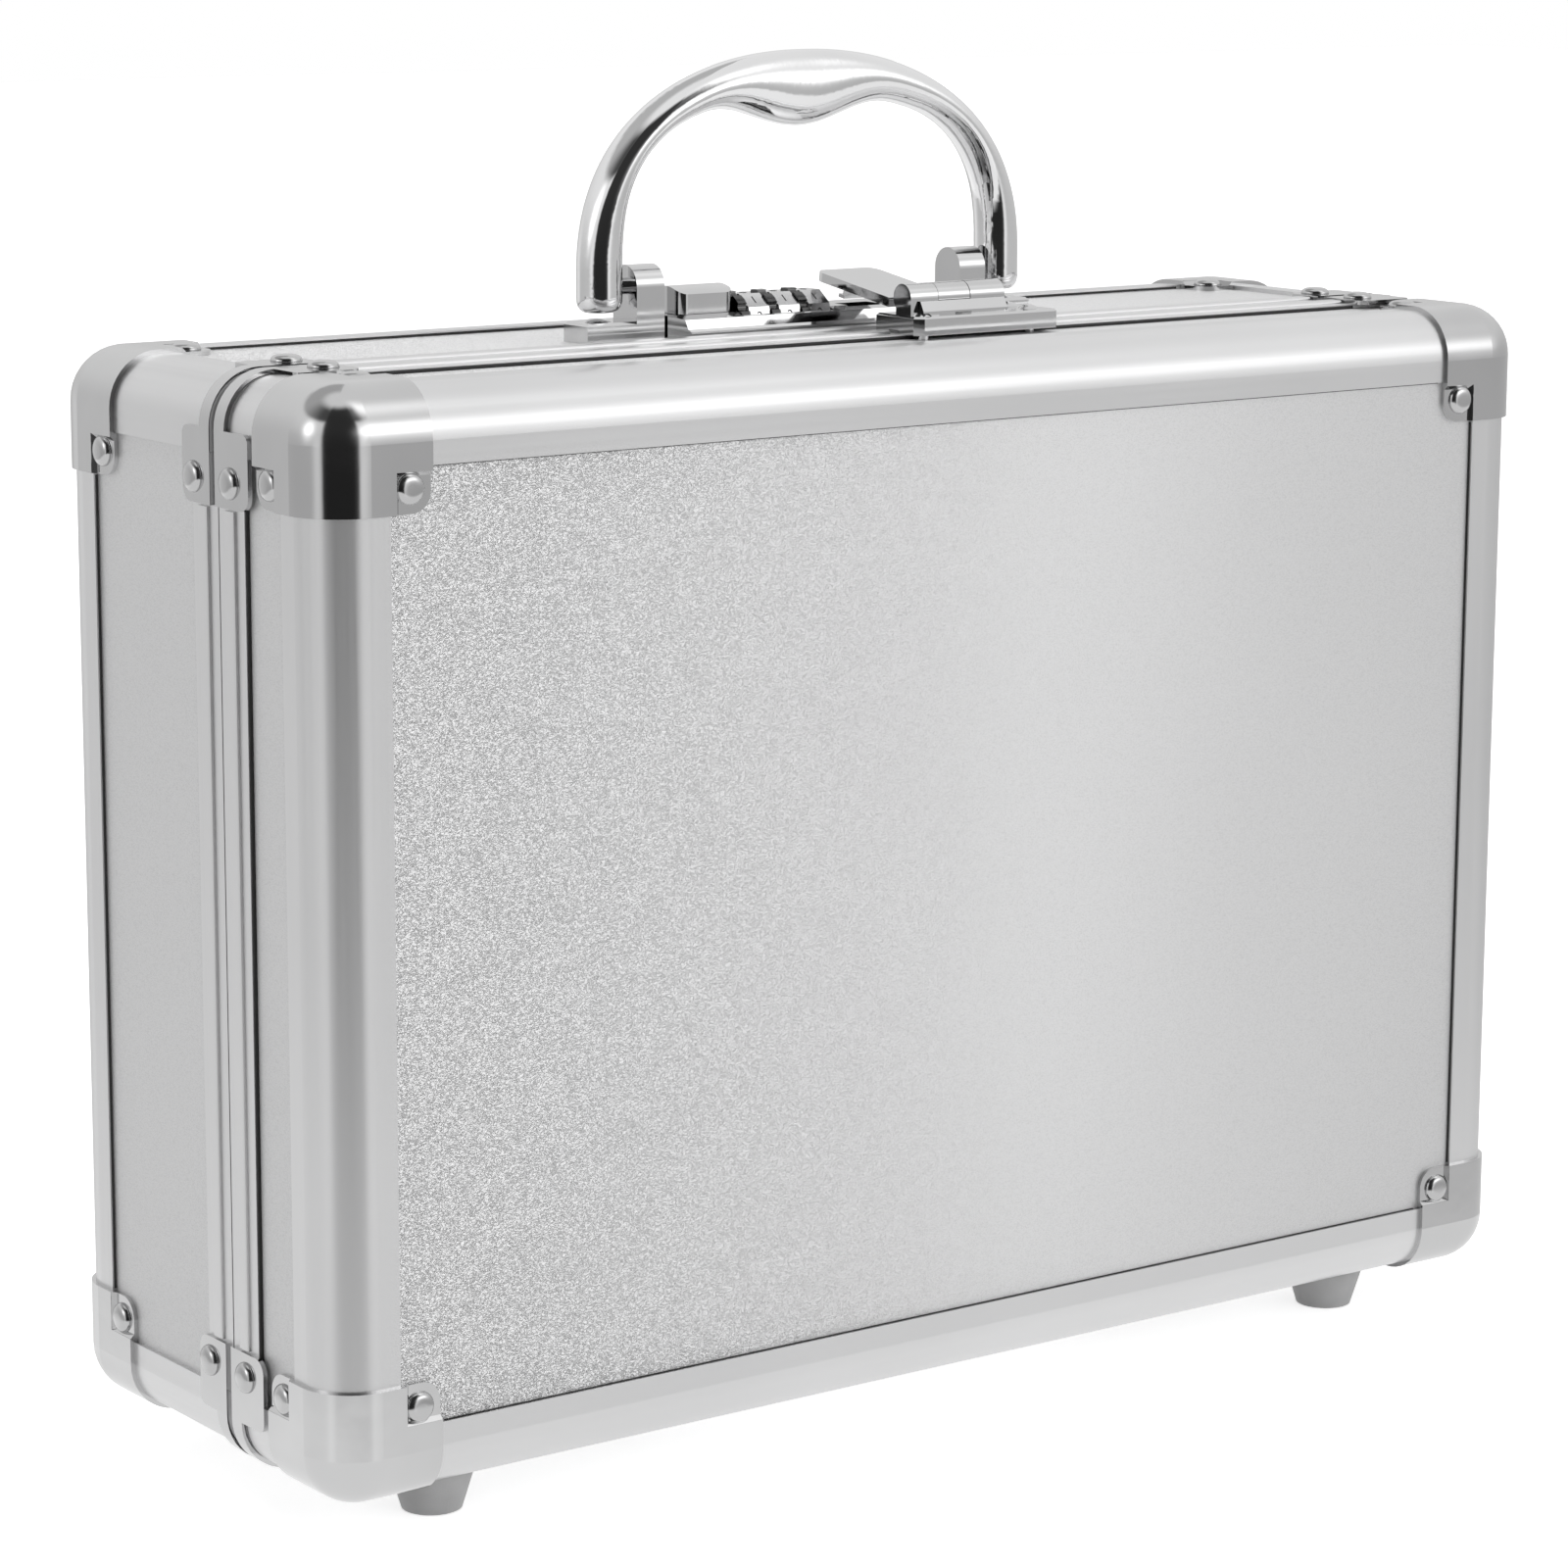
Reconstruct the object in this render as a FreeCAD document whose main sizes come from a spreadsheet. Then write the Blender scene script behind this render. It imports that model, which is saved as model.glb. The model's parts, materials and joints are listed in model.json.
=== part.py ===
import FreeCAD, Part
import math
import os
import re
import Sketcher

# Aluminium attache case, standing on the feet of its long lower side.
# Millimetres. +X runs along the case, +Y from the lid to the base shell, +Z is up.
# The origin lies on the floor, under the middle of the case.

V = FreeCAD.Vector
doc = FreeCAD.newDocument("AttacheCase")
sheet = doc.addObject("Spreadsheet::Sheet", "Dimensions")

# Driving dimensions: alias, value, what it is.
DIMENSIONS = [
    ("case_w", 330.0, "length of the shells along X"),
    ("case_d", 111.0, "depth of both shells along Y"),
    ("case_h", 232.5, "height of the shells"),
    ("foot_h", 10.5, "height of the rubber feet under the shells"),
    ("lid_d", 41.0, "depth of the lid, from its face to the parting line"),
    ("part_gap", 0.4, "gap between the two lip rails when closed"),
    ("edge_r", 11.0, "outer radius of the edge profiles"),
    ("seam", 16.0, "width of each edge profile flange"),
    ("wall_t", 1.0, "thickness of the aluminium profiles"),
    ("panel_t", 3.0, "thickness of the faced panels"),
    ("tuck", 3.0, "how far a panel reaches under a flange"),
    ("lining_t", 3.0, "thickness of the lining pads"),
    ("post_land", 36.0, "depth at which the lid's corner posts step down"),
    ("cap_t", 1.0, "sheet thickness of caps and brackets"),
    ("cap_reach", 25.5, "reach of a corner cap from each outer plane"),
    ("tab_in", 16.9, "start of the sunk tab of a corner cap"),
    ("tab_r", 4.5, "corner radius of the sunk tabs"),
    ("cap_rivet", 20.4, "rivet place in the tabs, from both outer planes"),
    ("rivet_r", 3.4, "radius of a rivet head"),
    ("rivet_dome", 1.4, "height of a rivet head"),
    ("shank_r", 1.5, "radius of rivet and screw shanks"),
    ("rail_w", 10.3, "width of a lip rail's outer flange"),
    ("rail_tuck", 2.3, "overhang of that flange over the panel"),
    ("tongue_out", 3.2, "reach of the base rail's tongue into the lid"),
    ("bead_w", 4.0, "width of the raised bead of a lip rail"),
    ("bead_h", 0.7, "height of the raised bead"),
    ("lid_bead", 34.0, "start of the lid's bead, from the lid's face"),
    ("base_bead", 45.0, "start of the base's bead, from the lid's face"),
    ("groove_y", 30.3, "start of the dark joint at the lid's lip rail"),
    ("bracket_reach", 26.8, "reach of a lip bracket down each side"),
    ("lid_tab_y", 27.3, "outer edge of a lid bracket's tabs"),
    ("lid_strip_y", 36.8, "edge of a lid bracket's strip round the corner"),
    ("lid_bracket_end", 40.9, "edge of a lid bracket at the parting line"),
    ("base_bracket_end", 43.0, "edge of a base bracket at the parting line"),
    ("base_strip_y", 47.1, "edge of a base bracket's strip"),
    ("base_tab_y", 54.2, "outer edge of a base bracket's tabs"),
    ("foot_x", 128.5, "foot centre from the middle"),
    ("foot_in", 21.5, "foot centre from the outer face"),
    ("foot_top_r", 9.8, "foot radius at the case"),
    ("foot_low_r", 6.6, "foot radius at the floor"),
    ("hinge_x", 86.0, "hinge centre from the middle"),
    ("hinge_len", 48.0, "hinge length"),
    ("hinge_r", 2.5, "hinge barrel radius"),
    ("hinge_pin_r", 1.25, "hinge pin radius"),
    ("leaf_t", 1.2, "hinge leaf thickness"),
    ("leaf_w", 15.0, "hinge leaf width from the pin"),
    ("fit_gap", 0.05, "radial running clearance of the pins"),
    ("mid_y", 8.5, "line of the handle pivot and the number wheels"),
    ("lock_w", 82.0, "length of the lock plate"),
    ("lock_d", 18.0, "width of the lock plate"),
    ("lock_step", 2.3, "height of the lock plate's flange"),
    ("lock_shoulder", 4.4, "height of the lock plate's shoulder"),
    ("lock_top", 5.3, "height of the lock plate's flat top"),
    ("lock_skin", 0.8, "thickness of that top"),
    ("lock_nip", 3.8, "bevel of the lock plate's corners"),
    ("case_half", 8.7, "half width of the lock case"),
    ("case_wall", 0.9, "wall thickness of the lock case"),
    ("wheel_z", 233.3, "number wheel axis above the shell's underside"),
    ("wheel_flat", 7.1, "number wheel radius to a facet"),
    ("wheel_rim", 7.7, "radius of the notched rim"),
    ("wheel_w", 8.2, "width of a number wheel"),
    ("wheel_rim_w", 2.5, "width of the notched rim"),
    ("wheel_gap", 0.2, "gap between number wheels"),
    ("wheels_x", -22.1, "left end of the first number wheel"),
    ("axle_r", 1.5, "number wheel axle radius"),
    ("button_x", -37.9, "left end of the release button"),
    ("button_w", 14.8, "length of the release button"),
    ("button_d", 11.2, "width of the release button"),
    ("button_h", 4.1, "height of the release button's sides"),
    ("button_crown", 1.9, "crown of the release button"),
    ("hasp_x", 3.0, "left end of the hasp's barrel and tongue"),
    ("hasp_w", 26.5, "length of the hasp's barrel"),
    ("tongue_w", 16.6, "width of the hasp's tongue"),
    ("hasp_y", 31.0, "hasp pin from the lid's face"),
    ("hasp_z", 240.6, "hasp pin above the shell's underside"),
    ("hasp_r", 3.2, "radius of the hasp's barrel"),
    ("hasp_pin_r", 1.3, "radius of the hasp's pin"),
    ("hasp_lift", 8.4, "degrees the released tongue stands above closed"),
    ("hasp_slab_t", 4.2, "thickness of the hasp plate"),
    ("tongue_reach", 33.4, "reach of the tongue from the hasp pin"),
    ("tongue_round", 3.6, "corner radius of the tongue's tip"),
    ("handle_w", 121.6, "width over the handle's legs"),
    ("handle_in", 101.2, "gap between the handle's legs"),
    ("pivot_z", 243.4, "handle pivot above the shell's underside"),
    ("leg_foot", 5.4, "length of the handle's legs below the pivot"),
    ("arch_top", 294.3, "top of the handle above the shell's underside"),
    ("arch_under", 283.2, "underside of the arch beside the finger swell"),
    ("swell", 5.9, "depth of the finger swell under the grip"),
    ("swell_w", 25.3, "half width of the finger swell"),
    ("swell_x", -2.5, "lowest point of the finger swell from the middle"),
    ("arch_spring", 246.0, "start of the arch above the shell's underside"),
    ("grip_y", 6.3, "half depth of the grip"),
    ("leg_y", 5.2, "half depth of the legs"),
    ("post_x", 41.5, "inner face of a handle post from the middle"),
    ("post_w", 7.4, "width of a handle post"),
    ("handle_foot", 62.0, "outer end of a handle foot plate"),
    ("handle_foot_d", 9.4, "width of a handle foot plate"),
    ("handle_foot_t", 4.4, "thickness of a handle foot plate"),
    ("handle_pin_r", 1.9, "radius of a handle pin"),
]
for row, (alias, value, note) in enumerate(DIMENSIONS, 1):
    sheet.set(f"A{row}", alias)
    sheet.set(f"B{row}", str(value))
    sheet.set(f"C{row}", note)
    sheet.setAlias(f"B{row}", alias)
doc.recompute()

ALIASES = re.compile(r"\b(" + "|".join(alias for alias, _, _ in DIMENSIONS) + r")\b")

# Planes that many parts share, written with the sheet's aliases.
FRONT = "(-case_d / 2)"
BACK = "(case_d / 2)"
LEFT = "(-case_w / 2)"
LOW = "foot_h"
TOP = "(foot_h + case_h)"
DECK = "(foot_h + case_h - wall_t)"
NODES = []


def bound(text):
    """The expression with every alias pointing at the sheet."""
    return ALIASES.sub(r"Dimensions.\1", text)


def size(alias):
    """A driving dimension as a number."""
    return float(sheet.get(alias))


def bind(obj, **expressions):
    for name, text in expressions.items():
        obj.setExpression(name, bound(text))


def place(obj, at, turn=None):
    """Turn the object, then bind its position to three expressions."""
    if turn:
        obj.Placement = FreeCAD.Placement(V(), FreeCAD.Rotation(V(*turn[0]), turn[1]))
    for axis, text in zip("xyz", at):
        obj.setExpression(f".Placement.Base.{axis}", bound(text))
    return obj


def box(name, at, length, width, height):
    obj = doc.addObject("Part::Box", name)
    bind(obj, Length=length, Width=width, Height=height)
    return place(obj, at)


X_AXIS = ((0, 1, 0), 90)
Y_AXIS = ((1, 0, 0), -90)
DOWN = ((1, 0, 0), 180)
TURNS = {"+x": X_AXIS, "-x": ((0, 1, 0), -90), "+y": Y_AXIS, "-y": ((1, 0, 0), 90), "+z": None, "-z": DOWN}


def cylinder(name, at, radius, height, way="+z"):
    obj = doc.addObject("Part::Cylinder", name)
    bind(obj, Radius=radius, Height=height)
    return place(obj, at, TURNS[way])


def cone(name, at, low, high, height, way="+z"):
    obj = doc.addObject("Part::Cone", name)
    bind(obj, Radius1=low, Radius2=high, Height=height)
    return place(obj, at, TURNS[way])


def dome(name, at, radius, height, way="+z"):
    """A shallow spherical head whose flat side is at the given point."""
    ball = f"(({radius})^2 + ({height})^2) / (2 * ({height}))"
    obj = doc.addObject("Part::Sphere", name)
    bind(obj, Radius=ball, Angle1=f"asin(({ball} - ({height})) / ({ball}))")
    axis, sign = "xyz".index(way[1]), -1 if way[0] == "-" else 1
    at = list(at)
    at[axis] = f"{at[axis]} + {-sign} * ({ball} - ({height}))"
    return place(obj, at, TURNS[way])


def cut(name, base, *tools):
    tool = tools[0] if len(tools) == 1 else group(name + "_tools", tools)
    obj = doc.addObject("Part::Cut", name)
    obj.Base = base
    obj.Tool = tool
    return obj


def fuse(name, *parts):
    obj = doc.addObject("Part::MultiFuse", name)
    obj.Shapes = list(parts)
    obj.Refine = True
    return obj


def group(name, parts):
    obj = doc.addObject("Part::Compound", name)
    obj.Links = list(parts)
    return obj


def fillet(name, base, radius, chosen):
    """Round the edges of base whose middle passes the test."""
    doc.recompute()
    edges = []
    for number, edge in enumerate(base.Shape.Edges, 1):
        if chosen(edge.CenterOfMass):
            edges.append((number, radius, radius))
    obj = doc.addObject("Part::Fillet", name)
    obj.Base = base
    obj.Edges = edges
    return obj


def mirror(name, source, axis, about="0"):
    obj = doc.addObject("Part::Mirroring", name)
    obj.Source = source
    obj.Normal = V(*[1 if letter == axis else 0 for letter in "xyz"])
    obj.setExpression(f"Base.{axis}", bound(about))
    return obj


MIDDLE_Z = "(foot_h + case_h / 2)"


def four_corners(name, master):
    """A master at the left top corner, with its three mirrored copies."""
    right = mirror(name + "_right", master, "x")
    pair = group(name + "_pair", [master, right])
    low = mirror(name + "_low", pair, "z", MIDDLE_Z)
    return group(name, [pair, low])


def left_right(name, master):
    return group(name, [master, mirror(name + "_right", master, "x")])


def profile(name, plane, points, start, length):
    """A body padded from a polygon whose corners are bound to the sheet."""
    body = doc.addObject("PartDesign::Body", name)
    sketch = body.newObject("Sketcher::SketchObject", name + "_sketch")
    origin_plane = [f for f in body.Origin.OriginFeatures if f.Role == plane][0]
    sketch.AttachmentSupport = [(origin_plane, "")]
    sketch.MapMode = "FlatFace"
    sketch.setExpression(".AttachmentOffset.Base.z", bound(start))
    doc.recompute()
    corners = []
    for across, up in points:
        pair = [sketch.evalExpression(bound(text)) for text in (across, up)]
        corners.append(V(float(pair[0]), float(pair[1]), 0))
    count = len(corners)
    for index, corner in enumerate(corners):
        line = Part.LineSegment(corner, corners[(index + 1) % count])
        sketch.addGeometry(line, False)
    for index in range(count):
        sketch.addConstraint(Sketcher.Constraint("Coincident", index, 2, (index + 1) % count, 1))
    for index, pair in enumerate(points):
        for kind, text, value in zip(("DistanceX", "DistanceY"), pair, corners[index][:2]):
            number = sketch.addConstraint(Sketcher.Constraint(kind, -1, 1, index, 1, value))
            sketch.setExpression(f"Constraints[{number}]", bound(text))
    pad = body.newObject("PartDesign::Pad", name + "_pad")
    pad.Profile = sketch
    bind(pad, Length=length)
    body.Tip = pad
    return body


def node(name, obj):
    """Hand an object in as one sub-part, under its node name."""
    obj.Label = name
    NODES.append((name, obj))
    return obj


# Rivets, screws and their fixings -------------------------------------------------

def rivet(name, at, way, grip):
    """A domed rivet; its shank runs back from the head through the grip."""
    head = dome(name + "_head", at, "rivet_r", "rivet_dome", way)
    back = ("-" if way[0] == "+" else "+") + way[1]
    shank = cylinder(name + "_shank", at, "shank_r", grip, back)
    return fuse(name, head, shank)


def cap_rivets():
    near, low = "cap_rivet", "(foot_h + case_h - cap_rivet)"
    grip = "wall_t + panel_t"
    front = rivet("cap_rivet_front", (f"{LEFT} + {near}", FRONT, low), "-y", grip)
    side = rivet("cap_rivet_side", (LEFT, f"{FRONT} + {near}", low), "-x", grip)
    top = rivet("cap_rivet_top", (f"{LEFT} + {near}", f"{FRONT} + {near}", TOP), "+z", grip)
    return four_corners("lid_cap_rivets", group("cap_rivet_set", [front, side, top]))


def bracket_rivets(name, depth):
    near = "21.5"
    grip = "cap_t + wall_t + panel_t"
    low = f"(foot_h + case_h - {near})"
    side = rivet(name + "_side", (f"{LEFT} - cap_t", f"{FRONT} + {depth}", low), "-x", grip)
    top = rivet(name + "_top", (f"{LEFT} + {near}", f"{FRONT} + {depth}", f"{TOP} + cap_t"), "+z", grip)
    return four_corners(name, group(name + "_set", [side, top]))


# Profiles, rails and panels -------------------------------------------------------

def corner_profile(name, at, sizes, inner_at, inner_sizes, outer_edge, inner_edge):
    """A thin L-shaped profile with a round outer corner."""
    outer = fillet(name + "_outer", box(name + "_block", at, *sizes), size("edge_r"), outer_edge)
    inner = fillet(name + "_inner", box(name + "_void", inner_at, *inner_sizes),
                   size("edge_r") - size("wall_t"), inner_edge)
    return cut(name, outer, inner)


def edge_profiles():
    """The profiles round the lid's face; the base's are their mirror image."""
    front, left, top = -size("case_d") / 2, -size("case_w") / 2, size("foot_h") + size("case_h")
    wall = size("wall_t")
    start = f"{LEFT} + edge_r + 1"
    run = "case_w - 2 * (edge_r + 1)"
    level = f"{TOP} - seam"
    edge_top = corner_profile(
        "edge_top", (start, FRONT, level), (run, "seam", "seam"),
        (f"{start} - 1", f"{FRONT} + wall_t", f"{level} - wall_t"), (f"{run} + 2", "seam", "seam"),
        lambda c: abs(c.y - front) < 0.01 and abs(c.z - top) < 0.01,
        lambda c: abs(c.y - front - wall) < 0.01 and abs(c.z - top + wall) < 0.01)
    start = f"{LOW} + seam + 0.2"
    run = "case_h - 2 * (seam + 0.2)"
    edge_left = corner_profile(
        "edge_left", (LEFT, FRONT, start), ("seam", "seam", run),
        (f"{LEFT} + wall_t", f"{FRONT} + wall_t", f"{start} - 1"), ("seam", "seam", f"{run} + 2"),
        lambda c: abs(c.y - front) < 0.01 and abs(c.x - left) < 0.01,
        lambda c: abs(c.y - front - wall) < 0.01 and abs(c.x - left - wall) < 0.01)
    pieces = {
        "lid_edge_top": edge_top,
        "lid_edge_bottom": mirror("edge_bottom", edge_top, "z", MIDDLE_Z),
        "lid_edge_left": edge_left,
        "lid_edge_right": mirror("edge_right", edge_left, "x"),
    }
    for name, piece in pieces.items():
        node(name, piece)
        node(name.replace("lid", "base"), mirror(name.replace("lid", "base"), piece, "y"))


def corner_posts(name, begin, run):
    """Round profiles along the depth of a shell, one at each of its corners."""
    left, top, wall = -size("case_w") / 2, size("foot_h") + size("case_h"), size("wall_t")
    return corner_profile(
        name, (LEFT, begin, f"{TOP} - seam"), ("seam", run, "seam"),
        (f"{LEFT} + wall_t", f"{begin} - 1", f"{TOP} - seam - wall_t"), ("seam", f"{run} + 2", "seam"),
        lambda c: abs(c.x - left) < 0.01 and abs(c.z - top) < 0.01,
        lambda c: abs(c.x - left - wall) < 0.01 and abs(c.z - top + wall) < 0.01)


def lid_posts():
    begin = f"{FRONT} + seam + 0.2"
    post = corner_posts("lid_post_full", begin, "lid_d - seam - 0.4")
    left, top = -size("case_w") / 2, size("foot_h") + size("case_h")
    cutter = box("lid_post_step", (f"{LEFT} - 1", f"{FRONT} + post_land", f"{TOP} - seam"),
                 "seam + 1", "lid_strip_y - post_land", "seam + 1")
    keep = fillet("lid_post_keep", box("lid_post_core", (f"{LEFT} + 0.5", f"{FRONT} + post_land - 1",
                  f"{TOP} - seam - 1"), "seam + 2", "lid_d", "seam + 0.5"), size("edge_r") - 0.5,
                  lambda c: abs(c.x - left - 0.5) < 0.01 and abs(c.z - top + 0.5) < 0.01)
    groove = cut("lid_post_groove", cutter, keep)
    return four_corners("lid_corner_posts", cut("lid_post", post, groove))


def base_posts():
    begin = f"{FRONT} + lid_d + part_gap + 0.2"
    post = corner_posts("base_post", begin, "case_d - lid_d - part_gap - seam - 0.4")
    return four_corners("base_corner_posts", post)


LID_RAIL = f"({FRONT} + lid_d - rail_w)"
LID_END = f"({FRONT} + lid_d)"
BASE_START = f"({FRONT} + lid_d + part_gap)"
BASE_RAIL = f"({FRONT} + lid_d + part_gap + rail_w)"


def rail_points(outward, kind):
    """The rail's section as (depth, level) pairs; level counts inwards from the outer plane."""
    if kind == "lid":
        section = [(LID_RAIL, "0"), (LID_END, "0"), (LID_END, "wall_t + panel_t"),
                   (f"{LID_RAIL} + rail_tuck", "wall_t + panel_t"), (f"{LID_RAIL} + rail_tuck", "wall_t"),
                   (LID_RAIL, "wall_t")]
    else:
        inner = "wall_t + panel_t"
        section = [(BASE_RAIL, "0"), (BASE_RAIL, "wall_t"), (f"{BASE_RAIL} - rail_tuck", "wall_t"),
                   (f"{BASE_RAIL} - rail_tuck", inner), (f"{BASE_START} + 2.6", inner),
                   (f"{BASE_START} + 2.6", f"{inner} + 2.2"),
                   (f"{BASE_START} - tongue_out", f"{inner} + 2.2"),
                   (f"{BASE_START} - tongue_out", f"{inner} + 0.7"), (BASE_START, f"{inner} + 0.7"),
                   (BASE_START, "0")]
    return [(depth, outward.format(level)) for depth, level in section]


def lip_rails(kind):
    """Four straight rails round the opening, the upper one and the sides with a raised bead."""
    top_points = rail_points(f"{TOP} - ({{}})", kind)
    side_points = [(across, depth) for depth, across in rail_points(f"{LEFT} + ({{}})", kind)]
    run_x = "case_w - 2 * (seam + 0.1)"
    run_z = "case_h - 2 * (seam + 0.1)"
    top = profile(f"{kind}_rail_top", "YZ_Plane", top_points, f"{LEFT} + seam + 0.1", run_x)
    side = profile(f"{kind}_rail_side", "XY_Plane", side_points, f"{LOW} + seam + 0.1", run_z)
    bead_y = f"{FRONT} + {kind}_bead"
    clear = "(bracket_reach + 0.5)"
    spans = [(f"{LEFT} + {clear}", f"case_w - 2 * {clear}")]
    if kind == "lid":
        spans = [(f"{LEFT} + {clear}", f"hasp_x - 0.9 + case_w / 2 - {clear}"),
                 ("hasp_x + 40.6", f"case_w / 2 - {clear} - hasp_x - 40.6")]
    ridge = size("foot_h") + size("case_h") + size("bead_h")
    beads = []
    for number, (start, run) in enumerate(spans):
        bar = box(f"{kind}_bead_{number}", (start, bead_y, TOP), run, "bead_w", "bead_h")
        beads.append(fillet(f"{kind}_bead_{number}_round", bar, 0.6,
                            lambda c: abs(c.z - ridge) < 0.01 and abs(c.x) < 149 and
                            min(abs(c.y - v.Point.y) for v in bar.Shape.Vertexes) < 0.01))
    edge_x = -size("case_w") / 2 - size("bead_h")
    side_bar = box(f"{kind}_bead_side", (f"{LEFT} - bead_h", bead_y, f"{LOW} + {clear}"),
                   "bead_h", "bead_w", f"case_h - 2 * {clear}")
    round_bar = fillet(f"{kind}_bead_side_round", side_bar, 0.6,
                       lambda c: abs(c.x - edge_x) < 0.01 and
                       min(abs(c.y - v.Point.y) for v in side_bar.Shape.Vertexes) < 0.01)
    low = mirror(f"{kind}_rail_low", top, "z", MIDDLE_Z)
    top = fuse(f"{kind}_rail_top_beaded", top, *beads)
    side = fuse(f"{kind}_rail_side_beaded", side, round_bar)
    return group(f"{kind}_rails", [top, low, side, mirror(f"{kind}_rail_right", side, "x")])


INSET = "(seam - tuck)"


def face_panel(rivets):
    block = box("face_block", (f"{LEFT} + {INSET}", f"{FRONT} + wall_t", f"{LOW} + {INSET}"),
                f"case_w - 2 * {INSET}", "panel_t", f"case_h - 2 * {INSET}")
    return cut("face_panel", block, rivets)


def side_panels(kind, tools, top_tools):
    """The four panels round a shell, tucked under the edge profiles and the lip rails."""
    if kind == "lid":
        begin, end = f"({FRONT} + {INSET})", f"({LID_RAIL} + rail_tuck)"
    else:
        begin, end = f"({BASE_RAIL} - rail_tuck)", f"({BACK} - {INSET})"
    depth = f"{end} - {begin}"
    run_x, run_z = f"case_w - 2 * {INSET}", f"case_h - 2 * {INSET}"
    blocks = {
        "top": box(f"{kind}_top_block", (f"{LEFT} + {INSET}", begin, f"{DECK} - panel_t"),
                   run_x, depth, "panel_t"),
        "bottom": box(f"{kind}_bottom_block", (f"{LEFT} + {INSET}", begin, f"{LOW} + wall_t"),
                      run_x, depth, "panel_t"),
        "left": box(f"{kind}_left_block", (f"{LEFT} + wall_t", begin, f"{LOW} + {INSET}"),
                    "panel_t", depth, run_z),
        "right": box(f"{kind}_right_block", (f"{LEFT} + case_w - wall_t - panel_t", begin,
                     f"{LOW} + {INSET}"), "panel_t", depth, run_z),
    }
    for side, block in blocks.items():
        own = list(tools) + (list(top_tools) if side == "top" else [])
        if kind == "lid":
            own.append(shadow_groove(side))
        node(f"{kind}_{side}_panel", cut(f"{kind}_{side}_panel", block, *own))


def shadow_groove(side):
    """The dark joint between the lid's side panels and its lip rail."""
    begin, width, deep = f"{FRONT} + groove_y", f"{LID_RAIL} + rail_tuck - ({FRONT} + groove_y)", "1.5"
    run_x, run_z = "case_w", "case_h"
    if side in ("top", "bottom"):
        level = f"{DECK} - {deep}" if side == "top" else f"{LOW} + wall_t - 1"
        return box(f"groove_{side}", (LEFT, begin, level), run_x, width, f"{deep} + 1")
    across = f"{LEFT} + wall_t - 1" if side == "left" else f"{LEFT} + case_w - wall_t - {deep}"
    return box(f"groove_{side}", (across, begin, LOW), f"{deep} + 1", width, run_z)


def lining(kind, tools):
    """Five glued pads that cover the inside of a shell."""
    level = "(wall_t + panel_t + 0.1)"
    if kind == "lid":
        begin, end = f"({FRONT} + {level} + lining_t)", f"({BASE_START} - tongue_out - 0.8)"
        face_y = f"{FRONT} + {level}"
    else:
        begin, end = f"({BASE_START} + 3)", f"({BACK} - {level} - lining_t)"
        face_y = f"{BACK} - {level} - lining_t"
    depth = f"{end} - {begin}"
    inner_w, inner_h = f"case_w - 2 * {level}", f"case_h - 2 * {level}"
    face = box(f"{kind}_pad_face", (f"{LEFT} + {level} + 10", face_y, f"{LOW} + {level} + 10"),
               f"{inner_w} - 20", "lining_t", f"{inner_h} - 20")
    top = box(f"{kind}_pad_top", (f"{LEFT} + {level} + 10", begin, f"{TOP} - {level} - lining_t"),
              f"{inner_w} - 20", depth, "lining_t")
    low = box(f"{kind}_pad_low", (f"{LEFT} + {level} + 10", begin, f"{LOW} + {level}"),
              f"{inner_w} - 20", depth, "lining_t")
    left = box(f"{kind}_pad_left", (f"{LEFT} + {level}", begin, f"{LOW} + {level} + 10"),
               "lining_t", depth, f"{inner_h} - 20")
    pads = [face, cut(f"{kind}_pad_top_cut", top, *tools) if tools else top, low, left,
            mirror(f"{kind}_pad_right", left, "x")]
    return node(f"{kind}_lining", group(f"{kind}_lining", pads))


# Corner caps and lip brackets ------------------------------------------------------

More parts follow.
